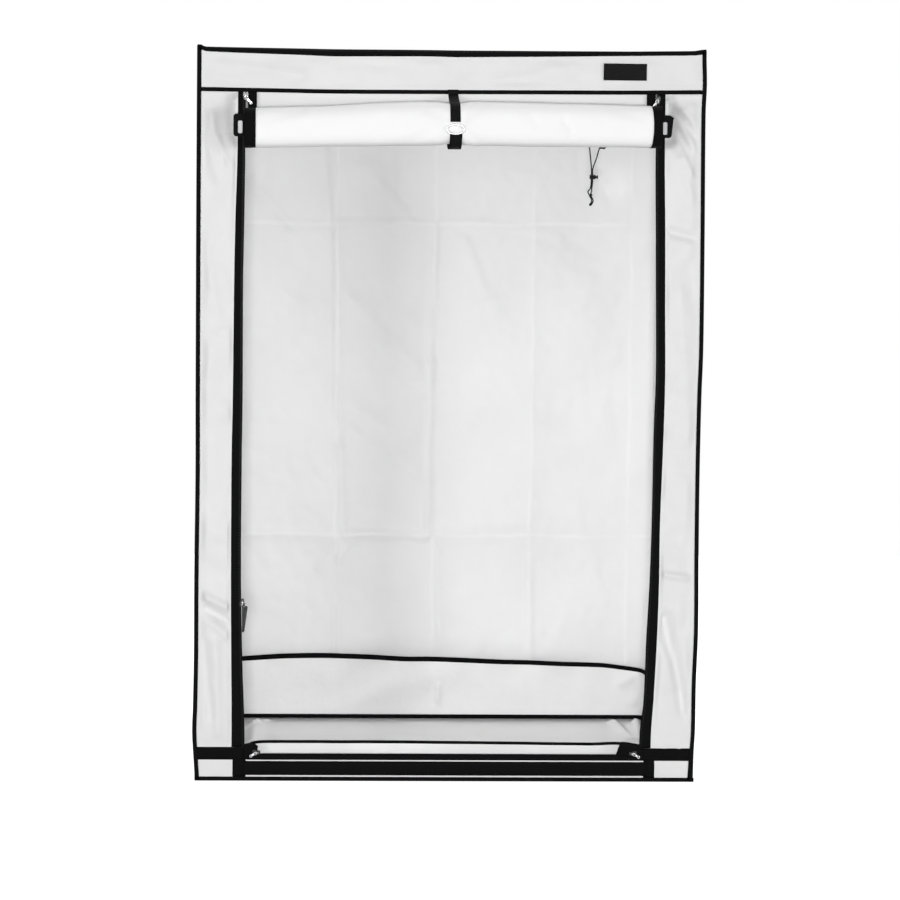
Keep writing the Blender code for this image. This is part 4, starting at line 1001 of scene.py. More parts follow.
doorRoll = {"axisY": -0.52, "turns": 8, "core": 0.010, "cloth": 0.0016, "halfWhite": 0.4695, "halfEnd": 0.497,
            "columns": 150, "edgeColumns": 4, "rows": 300, "fullness": 0.006,
            "radius": [
                (-0.5, 0.0493), (-0.3, 0.0515), (-0.11, 0.0548), (-0.04, 0.0545), (-0.017, 0.0512),
                (0.0, 0.0506), (0.017, 0.0512), (0.04, 0.0545), (0.11, 0.0548), (0.3, 0.0538),
                (0.5, 0.0528)],
            "axisZ": [
                (-0.5, 1.5850), (-0.3, 1.591), (-0.1, 1.5995), (0.0, 1.6), (0.1, 1.6005), (0.5, 1.5980)],
            "start": 102.6, "square": 1.8,
            "creases": [
                ((-0.015, 0.0), (-0.09, -0.032), 0.0026, 0.006),
                ((-0.016, 0.012), (-0.07, 0.03), 0.0022, 0.007),
                ((0.016, 0.0), (0.075, 0.045), 0.0022, 0.006),
                ((0.016, -0.008), (0.06, -0.04), 0.0026, 0.006),
                ((0.02, 0.014), (0.05, 0.05), 0.002, 0.005),
                ((0.262, 0.012), (0.28, -0.018), 0.0024, 0.005), ((0.17, 0.03), (0.2, 0.0), 0.0016, 0.008),
                ((-0.2, -0.03), (-0.16, 0.01), 0.0014, 0.012), ((-0.36, 0.04), (-0.44, 0.02), 0.0018, 0.01),
                ((0.38, 0.035), (0.45, 0.02), 0.0018, 0.009)]}


def rollPoint(x, turn):
    # turn runs from 0, outside, to 1, the core
    look = doorRoll
    reach = mix(along(look["radius"], x), look["core"], turn)
    angle = math.radians(look["start"]) + turn * look["turns"] * 2 * math.pi
    pull = math.exp(-((abs(x) - 0.03) / 0.02)**2) + 0.5 * math.exp(-((abs(x) - 0.46) / 0.03)**2)
    waves = (1 - turn) * (0.0014 * ripple(x, 0.03 * angle, 0.12, 91)
                          + 0.0020 * pull * ripple(x * 1.5, 0.05 * math.sin(angle) + x, 0.03, 95))
    if turn < 1 / look["turns"]:
        waves -= 1.5 * creaseHeight(x, 0.05 * (angle - 1.5 * math.pi), look["creases"])
    reach = squared(reach, angle, 2 + look["square"] * (1 - turn)) + waves
    z = along(look["axisZ"], x) + math.cos(angle) * reach
    return Vector((x, look["axisY"] + math.sin(angle) * reach, z))


def squared(reach, angle, power):
    # a circle's radius, drawn out towards the corners of a square
    return reach / (abs(math.sin(angle))**power + abs(math.cos(angle))**power)**(1 / power)


def buildRoll():
    look = doorRoll
    length = look["turns"] * math.pi * (0.05 + look["core"])
    white, end = look["halfWhite"], look["halfEnd"]

    def spiral(name, node, start, end, columns, finish):
        def place(u, v):
            front = max(0.0, -math.sin(math.radians(look["start"]) + v * look["turns"] * 2 * math.pi))
            full = look["fullness"] * front * front
            left, right = start + (full if start > 0 else 0), end + (full if 0 < end < 0.48 else 0)
            return rollPoint(mix(left, right, u), v)
        mesh = clothMesh(columns, look["rows"], place, (end - start, length))
        return addPiece(name, mesh, finish, "rolled_door", node, look["cloth"])

    roll = spiral("doorRoll", "door_roll", -white, white, look["columns"], "rollCloth")
    spiral("doorEdgeLeft", "door_edge_tape_left", -end, -white, look["edgeColumns"], "zipTape")
    spiral("doorEdgeRight", "door_edge_tape_right", white, end, look["edgeColumns"], "zipTape")


webLook = {"grid": (80, 24), "size": (0.937, 0.09), "tapeGrid": (4, 24), "tapeSize": (0.022, 0.09),
           "halfWhite": 0.4685, "tape": (0.4680, 0.4895), "low": 1.5865, "start": (0, -0.458, 1.669),
           "end": (0, -0.471, 1.592)}


def webPoint(x, v):
    # from the header's seam down to where the roll carries on
    z = mix(webLook["low"], headerLow(x, 0.002), v)
    hang = ease((1.662 - z) / 0.07)
    pucker = 0.0016 * math.sin(math.pi * v) * ripple(x, z, 0.05, 83)
    return Vector((x, mix(-0.4588, -0.4712, hang) + pucker, z))


def buildWeb():
    look, pieces = webLook, []

    def white(u, v):
        return webPoint(mix(-look["halfWhite"], look["halfWhite"], u), v)

    pieces.append(addPiece("doorWeb", clothMesh(*look["grid"], white, look["size"]), "whiteCloth", None,
                           "door_web", tent["cloth"], "whiteLining"))
    for side in (-1, 1):
        low, high = sorted(side * x for x in look["tape"])

        def edge(u, v, low=low, high=high):
            return webPoint(mix(low, high, u), v) + Vector((0, -0.0002, 0))

        pieces.append(addPiece("webTape" + words[side].capitalize(),
                               clothMesh(*look["tapeGrid"], edge, look["tapeSize"]), "zipTape", None, None,
                               tent["cloth"]))
    for piece in pieces:
        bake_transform(piece)


buildRoll()
buildWeb()
print("door rolled")


# the floor tray

tray = {"floorGrid": (150, 90), "floorCloth": 0.0014,
        "halfX": 0.575, "halfY": 0.42, "low": 0.0022, "corner": 0.022, "cloth": 0.0016, "slope": 0.09,
        "backRim": [(-0.58, 0.166), (-0.505, 0.1685), (-0.459, 0.1709), (-0.379, 0.175), (-0.299, 0.177),
                    (-0.192, 0.1742), (-0.084, 0.1698), (0.023, 0.1667), (0.13, 0.1634), (0.238, 0.1603),
                    (0.346, 0.1567), (0.454, 0.1531), (0.508, 0.1479), (0.562, 0.1413), (0.58, 0.136)],
        "frontRim": [
            (-0.575, 0.079), (-0.488, 0.0804), (-0.47, 0.0875), (-0.45, 0.0905), (-0.354, 0.0918),
            (-0.109, 0.0913), (0.136, 0.0896), (0.36, 0.0875), (0.43, 0.0895), (0.47, 0.083),
            (0.575, 0.079)],
        "pipe": 0.0105, "seam": 0.0095, "columns": 760, "lean": 0.012,
        "backFolds": [
            ((0.561, 0.125), (0.551, 0.045), 0.0045, 0.006), ((0.515, 0.10), (0.545, 0.12), 0.003, 0.010),
            ((0.02, 0.09), (0.018, 0.05), 0.003, 0.006), ((-0.2, 0.05), (0.05, 0.13), 0.0010, 0.03),
            ((0.1, 0.12), (0.3, 0.05), 0.0010, 0.03), ((0.54, 0.05), (0.56, 0.07), 0.003, 0.008)],
        "floorFolds": [
            ((-0.475, 0.05), (-0.466, 0.33), 0.009, 0.017), ((-0.44, 0.385), (-0.50, 0.25), 0.006, 0.007),
            ((0.486, 0.37), (0.508, 0.10), 0.009, 0.012), ((0.5469, 0.37), (0.5306, 0.10), 0.012, 0.010)]}


def trayEdge(share):
    # round the tray's outline from the middle of the back, to the left first: (point, outward)
    halfX, halfY, corner = tray["halfX"], tray["halfY"], tray["corner"]
    flatX, flatY, turn = halfX - corner, halfY - corner, math.pi * corner / 2
    runs = [("back", flatX), ("turn", turn), ("left", 2 * flatY), ("turn", turn), ("front", 2 * flatX),
            ("turn", turn), ("right", 2 * flatY), ("turn", turn), ("back", flatX)]
    at = (share % 1.0) * sum(length for word, length in runs)
    heading, place = math.pi, Vector((0, halfY, 0))
    for word, length in runs:
        step = min(at, length)
        if word == "turn":
            before = heading
            centre = place + Vector((-math.sin(heading), math.cos(heading), 0)) * corner
            heading += step / corner
            place = centre + Vector((math.sin(heading), -math.cos(heading), 0)) * corner
            if step == length:
                heading = before + math.pi / 2
        else:
            place = place + Vector((math.cos(heading), math.sin(heading), 0)) * step
        at -= step
        if at <= 1e-9:
            break
    return place, Vector((math.sin(heading), -math.cos(heading), 0))


def trayRim(place):
    back, front = along(tray["backRim"], place.x), along(tray["frontRim"], place.x)
    down = ease((-tray["halfY"] + tray["slope"] - place.y) / tray["slope"])
    side = mix(back, 0.158 if place.x < 0 else 0.15, ease((0.42 - place.y) / 0.5))
    return mix(side + 0.0022 * ripple(place.x, place.y, 0.12, 41), front, down)


def trayWall(share, rise):
    # rise runs from 0, at the seam, to 1, at the rim
    place, outward = trayEdge(share)
    height = mix(tray["low"], trayRim(place), rise)
    sway = 0.0035 * ripple(place.x + place.y, height, 0.09, 44)
    sway += 0.003 * ripple(place.x - place.y, 0.0, 0.22, 46)
    push = min(sway * rise - 0.0025 * rise, 0.0015)
    if place.y > tray["halfY"] - 0.001:
        push += tray["lean"] * rise * ease((tray["halfX"] - abs(place.x)) / 0.1)
        push -= creaseHeight(place.x, height, tray["backFolds"])
    return place + outward * push + Vector((0, 0, height)), outward


def trayRound(rows, place, size):
    mesh = clothMesh(tray["columns"], rows, place, size)
    bmesh.ops.remove_doubles(mesh, verts=mesh.verts, dist=1e-6)
    return mesh


def buildTray():
    halfX, halfY, low = tray["halfX"], tray["halfY"], tray["low"]
    around, corner = 4 * (halfX + halfY), tray["corner"]

    def wall(u, v):
        return trayWall(u, v)[0]

    def floor(u, v):
        x, y = mix(-halfX, halfX, u), mix(-halfY, halfY, v)
        reach = Vector((max(abs(x) - halfX + corner, 0), max(abs(y) - halfY + corner, 0)))
        if reach.length > corner:
            pull = reach * (1 - corner / reach.length)
            x, y = x - math.copysign(pull.x, x), y - math.copysign(pull.y, y)
        lift = 0.0012 * max(0.0, ripple(x, y, 0.15, 47)) + max(0.0, creaseHeight(x, y, tray["floorFolds"]))
        return Vector((x, y, low + tray["floorCloth"] + lift * min(1, (halfY - abs(y)) / 0.03)))

    def pipe(u, v):
        outward = trayWall(u, 1.0)[1]
        turn = mix(-1, 1, v)
        drop = max(abs(turn) - 0.3, 0) / 0.7 * tray["pipe"]
        crown = 0.0012 * math.cos(math.pi * min(abs(turn) / 0.6, 1) / 2)
        below = trayWall(u, 1.0 - drop / 0.15)[0]
        out = 0.0013 * math.copysign(min(abs(turn) / 0.3, 1), -turn) - 0.0008
        return below + outward * out + Vector((0, 0, crown))

    def seam(u, v):
        edge, outward = trayEdge(u)
        turn = mix(-1, 1, v)
        up, across = max(-turn, 0) * tray["seam"], max(turn, 0) * tray["seam"]
        return edge - outward * (0.0026 + across) + Vector((0, 0, low + 0.0034 + up))

    shell = addPiece("trayWalls", trayRound(24, wall, (around, 0.16)), "trayCloth", "tray", "floor_tray",
                     tray["cloth"])
    # the floor uses the lighter copy of the tray cloth, which is painted light
    bottom = addPiece("trayFloor", clothMesh(*tray["floorGrid"], floor, (2 * halfX, 2 * halfY)), "trayBase",
                      "tray", None, tray["floorCloth"])
    trims = [addPiece("trayPiping", trayRound(10, pipe, (around, 0.0196)), "blackBinding", "tray", None,
                      tent["tape"]),
             addPiece("traySeam", trayRound(6, seam, (around, 0.015)), "blackBinding", "tray", None,
                      tent["tape"], offset=1.0)]


buildTray()
print("tray laid")


# straps, their ring and the end loops

strapLook = {"width": 0.0245, "cloth": 0.0015, "slack": 0.0095,
             "frontTop": [(0.0018, -0.4612, 1.6800), (0.0018, -0.4616, 1.6755), (0.0018, -0.4620, 1.670),
                          (0.0018, -0.4668, 1.6655), (0.0019, -0.4830, 1.6605)],
             "backTop": [(0.002, -0.4640, 1.5640), (0.001, -0.4572, 1.5800), (0.0, -0.4561, 1.6050),
                         (0.0, -0.4559, 1.6500), (0.0, -0.4557, 1.6895)]}


def hugPoint(degrees, x, out):
    # a point on the roll's outer layer, in degrees from the back, over the top
    look = doorRoll
    turn = ((90 - degrees - look["start"]) % 360) / (360 * look["turns"])
    angle = math.radians(degrees)
    reach = mix(along(look["radius"], 0), look["core"], turn)
    reach = squared(reach, angle, 2 + look["square"] * (1 - turn)) + out
    z = along(look["axisZ"], 0) + math.sin(angle) * reach
    return Vector((x, look["axisY"] + math.cos(angle) * reach, z))


def buildStraps():
    look, width = strapLook, Vector((strapLook["width"], 0, 0))
    front = [Vector(point) for point in look["frontTop"]]
    front += [hugPoint(degrees, 0.002 + 0.00002 * (degrees - 108), 0.0012) for degrees in range(104, 178, 6)]
    back = [hugPoint(degrees, 0.0052 - 0.00003 * (degrees - 200),
                     0.0014 + look["slack"] * math.sin(math.radians(degrees - 206) * 1.5))
            for degrees in range(206, 326, 8)] + [Vector(point) for point in look["backTop"]]
    frontMesh = stripMesh(smoothPath(front, 4), -width, 4, 0.0004, Vector((0, -1, 0)))
    backMesh = stripMesh(smoothPath(back, 4), -1.2 * width, 4)
    for name, node, mesh, seat, keep in (("strapFront", "strap_front", frontMesh, -0.4610, 0.12),
                                         ("strapBack", "strap_back", backMesh, -0.4557, 0.05)):
        strap = addPiece(name, mesh, "blackWebbing", "tent", node, look["cloth"])
        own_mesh(strap)


ringLook = {"half": (0.0208, 0.0112), "wire": 0.0020, "rounds": 64, "sides": 12,
            "centre": (0.0034, -0.5735, 1.5862)}


def buildRing():
    mesh, look = bmesh.new(), ringLook
    halfX, halfZ = look["half"]
    rings = []
    for index in range(look["rounds"]):
        turn = 2 * math.pi * index / look["rounds"]
        centre = Vector(look["centre"]) + Vector((halfX * math.cos(turn), 0, halfZ * math.sin(turn)))
        outward = Vector((math.cos(turn) / halfX, 0, math.sin(turn) / halfZ)).normalized()
        made = bmesh.ops.create_circle(mesh, segments=look["sides"], radius=look["wire"])
        forward = outward.cross(Vector((0, 1, 0)))
        facing = Matrix((outward, Vector((0, 1, 0)), forward)).transposed().to_4x4()
        bmesh.ops.transform(mesh, matrix=Matrix.Translation(centre) @ facing, verts=made["verts"])
        rings.append([edge for edge in mesh.edges if all(v in made["verts"] for v in edge.verts)])
    for first, second in zip(rings, rings[1:] + rings[:1]):
        bmesh.ops.bridge_loops(mesh, edges=first + second)
    bmesh.ops.recalc_face_normals(mesh, faces=mesh.faces)
    piece = addPiece("strapRing", mesh, "platedMetal", "tent", "strap_ring")
    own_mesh(piece)


loopLook = {"outer": (0.4973, 0.5228, 1.5700, 1.6240), "corner": 0.007, "depth": 0.0042, "bevel": 0.0009,
            "hole": (0.5015, 0.5125, 1.5775, 1.6080), "holeCorner": 0.004, "tip": {-1: 0.0, 1: 0.006},
            "bar": (0.5012, 0.5120, 1.5775, 1.6075), "lift": {-1: -0.0065, 1: 0.0005}}


def ringOutline(box, lift, corner, tip=0.0):
    # a rounded box of (x, x, z, z); tip draws its upper outer corner out
    x0, x1, z0, z1 = box[0], box[1], box[2] + lift, box[3] + lift
    points = []
    for cx, cz, start in ((x1 - corner, z1 - corner, 0), (x0 + corner, z1 - corner, 90),
                          (x0 + corner, z0 + corner, 180), (x1 - corner, z0 + corner, 270)):
        for step in range(9):
            turn = math.radians(start + 90 * step / 8)
            reach = tip * max(0.0, 1 - abs(step - 1) / 3) if start == 0 else 0.0
            points.append((cx + reach + corner * math.cos(turn), cz - 0.3 * reach + corner * math.sin(turn)))
    return points


def buildEndLoop(side):
    look, lift, mesh, edges = loopLook, loopLook["lift"][side], bmesh.new(), []
    for outline in (ringOutline(look["outer"], lift, look["corner"], look["tip"][side]),
                    ringOutline(look["hole"], lift, look["holeCorner"])):
        verts = [mesh.verts.new((side * x, -0.5180, z)) for x, z in outline]
        edges += [mesh.edges.new((a, b)) for a, b in zip(verts, verts[1:] + verts[:1])]
    bmesh.ops.bridge_loops(mesh, edges=edges)
    bmesh.ops.recalc_face_normals(mesh, faces=mesh.faces)
    for face in mesh.faces:
        if face.normal.y > 0:
            face.normal_flip()
    raisePlate(mesh, look["depth"], look["bevel"])
    layer = mesh.loops.layers.uv.new("cloth")
    for face in mesh.faces:
        for loop in face.loops:
            loop[layer].uv = (loop.vert.co.z, abs(loop.vert.co.x) - look["outer"][0])
    x0, x1, z0, z1 = look["bar"]
    bar = [(side * x, z + lift) for x, z in ((x0, z0), (x1, z0), (x1, z1), (x0, z1))]
    word = words[side].capitalize()
    addPiece("loopBar" + word, plateMesh(bar, 0.0016, 0.0004, -0.5205), "dullMetal", "rolled_door",
             smooth=False)
    addPiece("endLoop" + word, mesh, "blackWebbing", "rolled_door", "end_loop_" + words[side])


buildStraps()
buildRing()
for side in (-1, 1):
    buildEndLoop(side)
print("straps buckled")


# duct sleeves, vent and flap

sleeveLook = {"grid": (144, 44),
              "radius": 0.075, "hem": 0.058, "flange": 0.09, "flangeShare": 0.12, "gather": (0.55, 0.45),
              "folds": 18, "cloth": 0.0012, "seat": 0.0002}


def sleeveMesh(length, place):
    # u goes round, v from the flange's rim over the collar to the hem; place(turn, radius, out) sets it
    look, share, (start, over) = sleeveLook, sleeveLook["flangeShare"], sleeveLook["gather"]

    def point(u, v):
        turn = 2 * math.pi * u
        if v < share:
            return place(turn, mix(look["flange"], look["radius"], v / share), look["seat"])
        run = (v - share) / (1 - share)
        gather = ease((run - start) / over)
        fold = 0.0015 * ripple(math.cos(turn), math.sin(turn) + run * 2, 0.5, 33)
        fold += 0.0032 * gather * math.sin(look["folds"] * turn + 2 * ripple(turn, run, 1.0, 35))
        return place(turn, mix(look["radius"], look["hem"], gather) + fold, look["seat"] + run * length)

    mesh = clothMesh(*look["grid"], point, (2 * math.pi * look["radius"], length + 0.02))
    bmesh.ops.remove_doubles(mesh, verts=mesh.verts, dist=1e-6)
    bmesh.ops.recalc_face_normals(mesh, faces=mesh.faces)
    return mesh


def buildSleeves():
    (roofX, roofY), (wallY, wallZ) = ductHole["roof"], ductHole["wall"]
    wallX = sideX(1, wallY, wallZ) + 0.0002

    def inRoof(turn, radius, out):
        return Vector((roofX + radius * math.cos(turn), roofY + radius * math.sin(turn), 1.7712 - out))

    def onWall(turn, radius, out):
        return Vector((wallX + out, wallY + radius * math.cos(turn), wallZ + radius * math.sin(turn)))

    for name, node, length, place, flat, held, holder in (
            ("ductSleeveRoof", "duct_sleeve_roof", 0.168, inRoof, (0.47, 0.19), "hung", "roofPanel"),
            ("ductSleeveRight", "duct_sleeve_right", 0.054, onWall, (0.47, 0.072), "stretched", "rightWall")):
        piece = addPiece(name, sleeveMesh(length, place), "whiteCloth", "tent", node, sleeveLook["cloth"],
                         offset=0.0)


netLook = {"grid": (81, 41), "size": (0.324, 0.164), "x": -0.6064, "halfWidth": 0.162, "z": (0.208, 0.372),
           "wire": 0.0011}
flapLook = {"grid": (66, 34), "size": (0.33, 0.17), "halfWidth": 0.165, "low": 0.205, "top": 0.375,
            "stitched": 0.045, "cloth": 0.0012}


def buildVent():
    look, half = flapLook, netLook["halfWidth"]

    def net(u, v):
        x = netLook["x"] + 0.0006 * math.sin(math.pi * u)
        return Vector((x, mix(half, -half, u), mix(*netLook["z"], v)))

    mesh = clothMesh(*netLook["grid"], net, netLook["size"])
    piece = addPiece("ventNet", mesh, "blackNet", "tent", "vent_net")
    wires = piece.modifiers.new("netting", "WIREFRAME")
    wires.thickness, wires.use_even_offset, wires.use_replace = netLook["wire"], False, True

    def flap(u, v):
        y, z = mix(look["halfWidth"], -look["halfWidth"], u), mix(look["low"], look["top"], v)
        bow = 0.002 * math.sin(math.pi * u) * math.sin(math.pi * min(v * 1.3, 1))
        bow += 0.0012 * ripple(y, z, 0.08, 55)
        free = ease((look["top"] - z) / look["stitched"])
        return Vector((-tent["halfWidth"] - free * (0.0022 + max(bow, -0.0005)), y, z))

    cover = addPiece("ventFlap", clothMesh(*look["grid"], flap, look["size"]), "whiteCloth", "flap",
                     "vent_flap", look["cloth"])


buildSleeves()
buildVent()
print("sleeves and vent made")


# the drawcord, its lock and its knot

drawcord = {"radius": 0.0016, "y": 0.00098,
            "left": [(0.3580, 1.6024), (0.3585, 1.5949), (0.3655, 1.5650), (0.3700, 1.5393), (0.3728, 1.5141),
                     (0.3757, 1.4864), (0.3757, 1.4674), (0.3754, 1.4510), (0.3736, 1.4375), (0.3676, 1.4295),
                     (0.3700, 1.4225), (0.3728, 1.4170), (0.3772, 1.4067), (0.3750, 1.3995)],
            "turn": [(0.3722, 1.3962), (0.3740, 1.3942)],
            "right": [
                (0.4200, 1.6024), (0.4198, 1.5949), (0.4160, 1.5600), (0.4085, 1.5392), (0.3960, 1.5395),
                (0.3882, 1.5141), (0.3789, 1.4864), (0.3789, 1.4674), (0.3786, 1.4510), (0.3770, 1.4375),
                (0.3768, 1.4300), (0.3745, 1.4225), (0.3762, 1.4170), (0.3808, 1.4067), (0.3782, 1.3985)],
            "knot": {"centre": (0.3743, 1.4195), "reach": (0.0030, 0.0022), "radius": 0.0014, "rise": 0.0052,
                     "turns": 2.5, "steps": 48},
            "tab": {"from": (0.3948, 1.5397), "to": (0.4078, 1.5390), "radius": 0.0027, "waist": 0.28}}


def cordRoute():
    flat = drawcord["left"] + drawcord["turn"] + drawcord["right"][::-1]
    return smoothPath([Vector((x, drawcord["y"], z)) for x, z in flat], 8)


def buildCordEnds():
    # the knot that keeps the lock on, and the sewn tab that the right strand comes from
    knot, tab = drawcord["knot"], drawcord["tab"]
    coil = []
    for step in range(knot["steps"] + 1):
        turn, share = knot["turns"] * 2 * math.pi * step / knot["steps"], step / knot["steps"]
        swell = 0.75 + 0.35 * math.sin(math.pi * share)
        coil.append(Vector((knot["centre"][0] + knot["reach"][0] * swell * math.cos(turn),
                            drawcord["y"] + knot["reach"][1] * swell * math.sin(turn),
                            knot["centre"][1] + knot["rise"] * (share - 0.5) + 0.0008 * math.cos(turn))))
    ends = [Vector((x, drawcord["y"], z)) for x, z in (tab["from"], tab["to"])]
    bar = [ends[0].lerp(ends[1], step / 10) for step in range(11)]

    def thick(share):
        return tab["radius"] * (1 - tab["waist"] + tab["waist"] * abs(2 * share - 1)**3)

    return [addPiece("drawcordKnot", tubeMesh(coil, knot["radius"], 8), "blackPlastic", "tent"),
            addPiece("drawcordTab", tubeMesh(bar, thick, 12), "blackWebbing", "tent")]


def buildCord():
    route, ends = cordRoute(), buildCordEnds()
    curve = bpy.data.curves.new("drawcord", "CURVE")
    curve.dimensions, curve.bevel_depth, curve.bevel_resolution = "3D", drawcord["radius"], 4
    curve.use_fill_caps = True
    spline = curve.splines.new("POLY")
    spline.points.add(len(route) - 1)
    for point, place in zip(spline.points, route):
        point.co = (*place, 1)
    curve.materials.append(materials["blackPlastic"])
    cord = bpy.data.objects.new("drawcordLine", curve)
    bpy.context.scene.collection.objects.link(cord)
    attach(cord, "tent")
    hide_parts("drawcord")
    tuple(route[0])
    pathLength(route)
    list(ends)
    print("drawcord length", round(pathLength(route), 4))


buildCord()


# zip sliders and their pulls

# arch is (half its height, radius), eye (half width, half height, radius) and bob (reach, radius)
sliderLook = {"plate": (0.0125, 0.0185), "front": -0.4626, "back": -0.4562, "thick": 0.0013, "bevel": 0.0003,
              "bridge": 0.0032, "neck": 0.62, "postBevel": 0.0002, "postRise": 0.0032, "sides": 8,
              "arch": (0.0055, 0.0011), "eye": (0.0032, 0.0042, 0.00085), "bob": (0.0027, 0.0010),
              "blade": 0.0011}


def turned(mesh, pivot, degrees):
    # turns a mesh about pivot in the front's plane
    spin = Matrix.Rotation(math.radians(degrees), 4, "Y")
    spin = Matrix.Translation(pivot) @ spin @ Matrix.Translation(-Vector(pivot))
    bmesh.ops.transform(mesh, matrix=spin, verts=mesh.verts)
    return mesh


def shieldOutline(width, height, x, z):
    # a slider's plate: broad at the mouth, with a waisted neck
    half, tall = width / 2, height / 2
    neck = half * sliderLook["neck"]
    right = [(half * 0.8, tall), (half, tall * 0.75), (half, tall * 0.1), (neck, -tall * 0.55),
             (neck, -tall * 0.9), (half * 0.4, -tall)]
    left = [(-dx, dz) for dx, dz in right[::-1]]
    return [(x + dx, z + dz) for dx, dz in left[-2:] + right + left[:-2]]


def circle(x, y, z, reachX, reachZ, count):
    points = []
    for step in range(count):
        turn = 2 * math.pi * step / count
        points.append(Vector((x + reachX * math.sin(turn), y, z + reachZ * math.cos(turn))))
    return points


def buildSlider(name, node, body, x, z, spin, pull=None, wedge=(0, 0.003, 0.011)):
    # pull is (length, lean in degrees), and wedge is (sideways, width, height) of the post between the plates
    look = sliderLook
    front, back, sides, (archZ, archWire) = look["front"], look["back"], look["sides"], look["arch"]
    pivot, shield = (x, front, z), shieldOutline(*look["plate"], x, z)
    post = shieldOutline(wedge[1], wedge[2], x + wedge[0], z + look["postRise"])
    plates = [plateMesh(shield, look["thick"], look["bevel"], y) for y in (front, back)]
    plates = joinMeshes(plates + [plateMesh(post, back - front, look["postBevel"], front)])
    addPiece(name + "Body", turned(plates, pivot, spin), "sliderPaint", body, node, smooth=False)
    arch = [Vector((x, front - look["bridge"] * math.sin(math.pi * step / 12),
                    z + archZ * math.cos(math.pi * step / 12))) for step in range(13)]
    addPiece(name + "Bridge", turned(tubeMesh(arch, archWire, sides), pivot, spin), "platedMetal", body)
    if pull:
        (run, lean), (eyeX, eyeZ, eyeWire), (bob, bobWire) = pull, look["eye"], look["bob"]
        blade = [(-0.0019, -0.0070), (0.0019, -0.0070), (0.0026, -run + 0.004), (0.0021, -run),
                 (-0.0021, -run), (-0.0026, -run + 0.004)]
        tab = joinMeshes([
            tubeMesh(circle(x, front - 0.0022, z - 0.003, eyeX, eyeZ, 24), eyeWire, sides, True),
            plateMesh([(x + dx, z + dz) for dx, dz in blade], look["blade"], look["bevel"], front - 0.0028),
            tubeMesh(circle(x, front - 0.0024, z - run - 0.0022, bob, bob, 20), bobWire, sides, True)])
        addPiece(name + "Pull", turned(tab, pivot, lean), "platedMetal", body)


# ring is (y, drop, reach, radius)
lowPull = {"x": -0.492, "top": 0.437, "ring": (-0.4639, 0.0048, 0.0052, 0.0008), "y": -0.4638,
           "strands": 3, "turns": 4.5, "wide": 0.0058, "narrows": 0.65, "drop": 0.0085, "length": 0.0610,
           "wire": 0.0019, "thins": 0.35, "knotDrop": 0.0655, "knotWire": 0.0015}


def buildLowPull():
    # a braid on a ring
    look = lowPull
    x, top, (ringY, ringDrop, ringReach, wire) = look["x"], look["top"], look["ring"]
    ring = circle(x, ringY, top - ringDrop, ringReach, ringReach, 28)
    addPiece("lowPullRing", tubeMesh(ring, wire, 10, True), "platedMetal", "low_left_pull")
    parts = []
    for strand in range(look["strands"]):
        path = []
        for step in range(61):
            share = step / 60
            phase = 2 * math.pi * (share * look["turns"] + strand / look["strands"])
            wide = look["wide"] * (1 - look["narrows"] * share)
            path.append(Vector((x + 0.0022 - 0.004 * share + wide * math.sin(phase),
                                look["y"] + 0.0006 * math.sin(2 * phase),
                                top - look["drop"] - look["length"] * share)))
        parts.append(tubeMesh(path, lambda share: look["wire"] * (1 - look["thins"] * share), 8))
    knot = [Vector((x - 0.0018 + 0.0016 * math.cos(0.9 * step), look["y"] + 0.0008 * math.sin(0.9 * step),
                    top - look["knotDrop"] - 0.0005 * step)) for step in range(12)]
    parts.append(tubeMesh(knot, look["knotWire"], 8))
    addPiece("lowPullBraid", joinMeshes(parts), "greyBraid", "low_left_pull", "pull_low_left")


for side, word in words.items():
    buildSlider("sliderTop" + word.capitalize(), "slider_top_" + word, "top_%s_slider" % word,
                side * 0.4945, 1.660, 0, (0.019, 35 * side))
    buildSlider("sliderSill" + word.capitalize(), "slider_sill_" + word, "sill_%s_slider" % word,
                side * 0.460, 0.0691, 90 * side, (0.013, -60 * side))
buildSlider("sliderLow", "slider_low_left", "low_left_slider", -0.496, lowPull["top"], 180,
            wedge=(-0.0052, 0.0014, 0.007))
buildLowPull()
print("sliders fitted")


# kept CAD nodes get their finish

for name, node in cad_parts.items():
    if not node.hide_render:
        frameNode = name.startswith(("pole", "upright", "hanging"))
        node.data.materials.clear()
        node.data.materials.append(materials["paintedPole" if frameNode else "blackPlastic"])
print("nodes finished")


# floor and light

studio = {"floorSize": 4.0, "floorColour": 0.62, "floorLift": 0.9, "floorDrop": 0.0015, "world": 0.08}
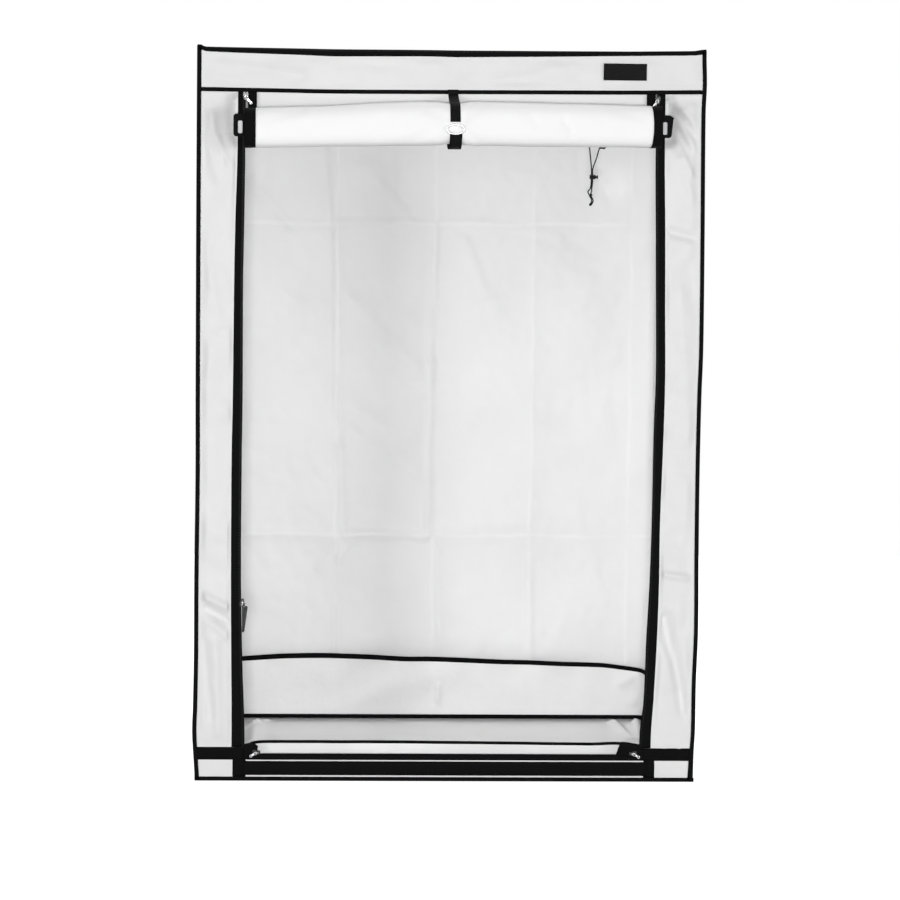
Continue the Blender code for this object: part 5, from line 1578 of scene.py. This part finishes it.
# each lamp's place and aim, its size in metres and its power in watts
lamps = {"lampFront": ((-0.45, -9.3, 1.42), (0, 0, 0.9), 0.5, 318),
         "lampHigh": ((-0.39, -8.0, 4.4), (0, 0, 0.9), 3.2, 86),
         "lampRight": ((6.2, -7.4, 1.45), (0, 0, 0.9), 1.6, 140),
         "lampLeft": ((-4.3, -7.8, 1.45), (0, 0, 0.9), 1.5, 140),
         "lampBackRight": ((6.5, 3.2, 2.4), (0, 0.3, 0.9), 2.4, 210),
         "lampBackLeft": ((-6.5, 3.2, 2.4), (0, 0.3, 0.9), 2.4, 170),
         "lampBack": ((0.8, 8.0, 2.4), (0, 0.3, 0.9), 2.4, 150),
         "lampTop": ((0.4, 1.6, 7.0), (0, 0, 1.7), 2.6, 120)}


def whiteToCamera(tree):
    # 1 for what the camera sees straight, in metal or through glass
    path = addNode(tree, "ShaderNodeLightPath").outputs
    seen = calc(tree, "MAXIMUM", path["Is Camera Ray"], path["Is Glossy Ray"])
    return calc(tree, "MAXIMUM", seen, path["Is Transmission Ray"])


def buildStudio():
    world = bpy.data.worlds.new("studio")
    world.use_nodes = True
    bpy.context.scene.world = world
    tree = world.node_tree
    background = tree.nodes["Background"]
    background.inputs["Color"].default_value = (1, 1, 1, 1)
    strength = calc(tree, "MULTIPLY_ADD", whiteToCamera(tree), 1 - studio["world"], studio["world"])
    feed(tree, strength, background.inputs["Strength"])
    mesh = bmesh.new()
    bmesh.ops.create_grid(mesh, x_segments=1, y_segments=1, size=studio["floorSize"])
    material, tree, shader = newMaterial("studioFloor", {
        "Base Color": (*[studio["floorColour"]] * 3, 1), "Roughness": 0.9, "Specular IOR Level": 0.1,
        "Emission Color": (1, 1, 1, 1)})
    lift = calc(tree, "MULTIPLY", whiteToCamera(tree), studio["floorLift"])
    feed(tree, lift, shader.inputs["Emission Strength"])
    floor = finishPiece("studioGround", mesh, material, False)
    floor.location.z = -studio["floorDrop"]
    for name, (place, aim, size, power) in lamps.items():
        data = bpy.data.lights.new(name, "AREA")
        data.shape, data.size, data.energy = "SQUARE", size, power
        lamp = bpy.data.objects.new(name, data)
        lamp.location = place
        lamp.rotation_euler = (Vector(aim) - Vector(place)).to_track_quat("-Z", "Y").to_euler()
        bpy.context.scene.collection.objects.link(lamp)


buildStudio()
print("studio lit")
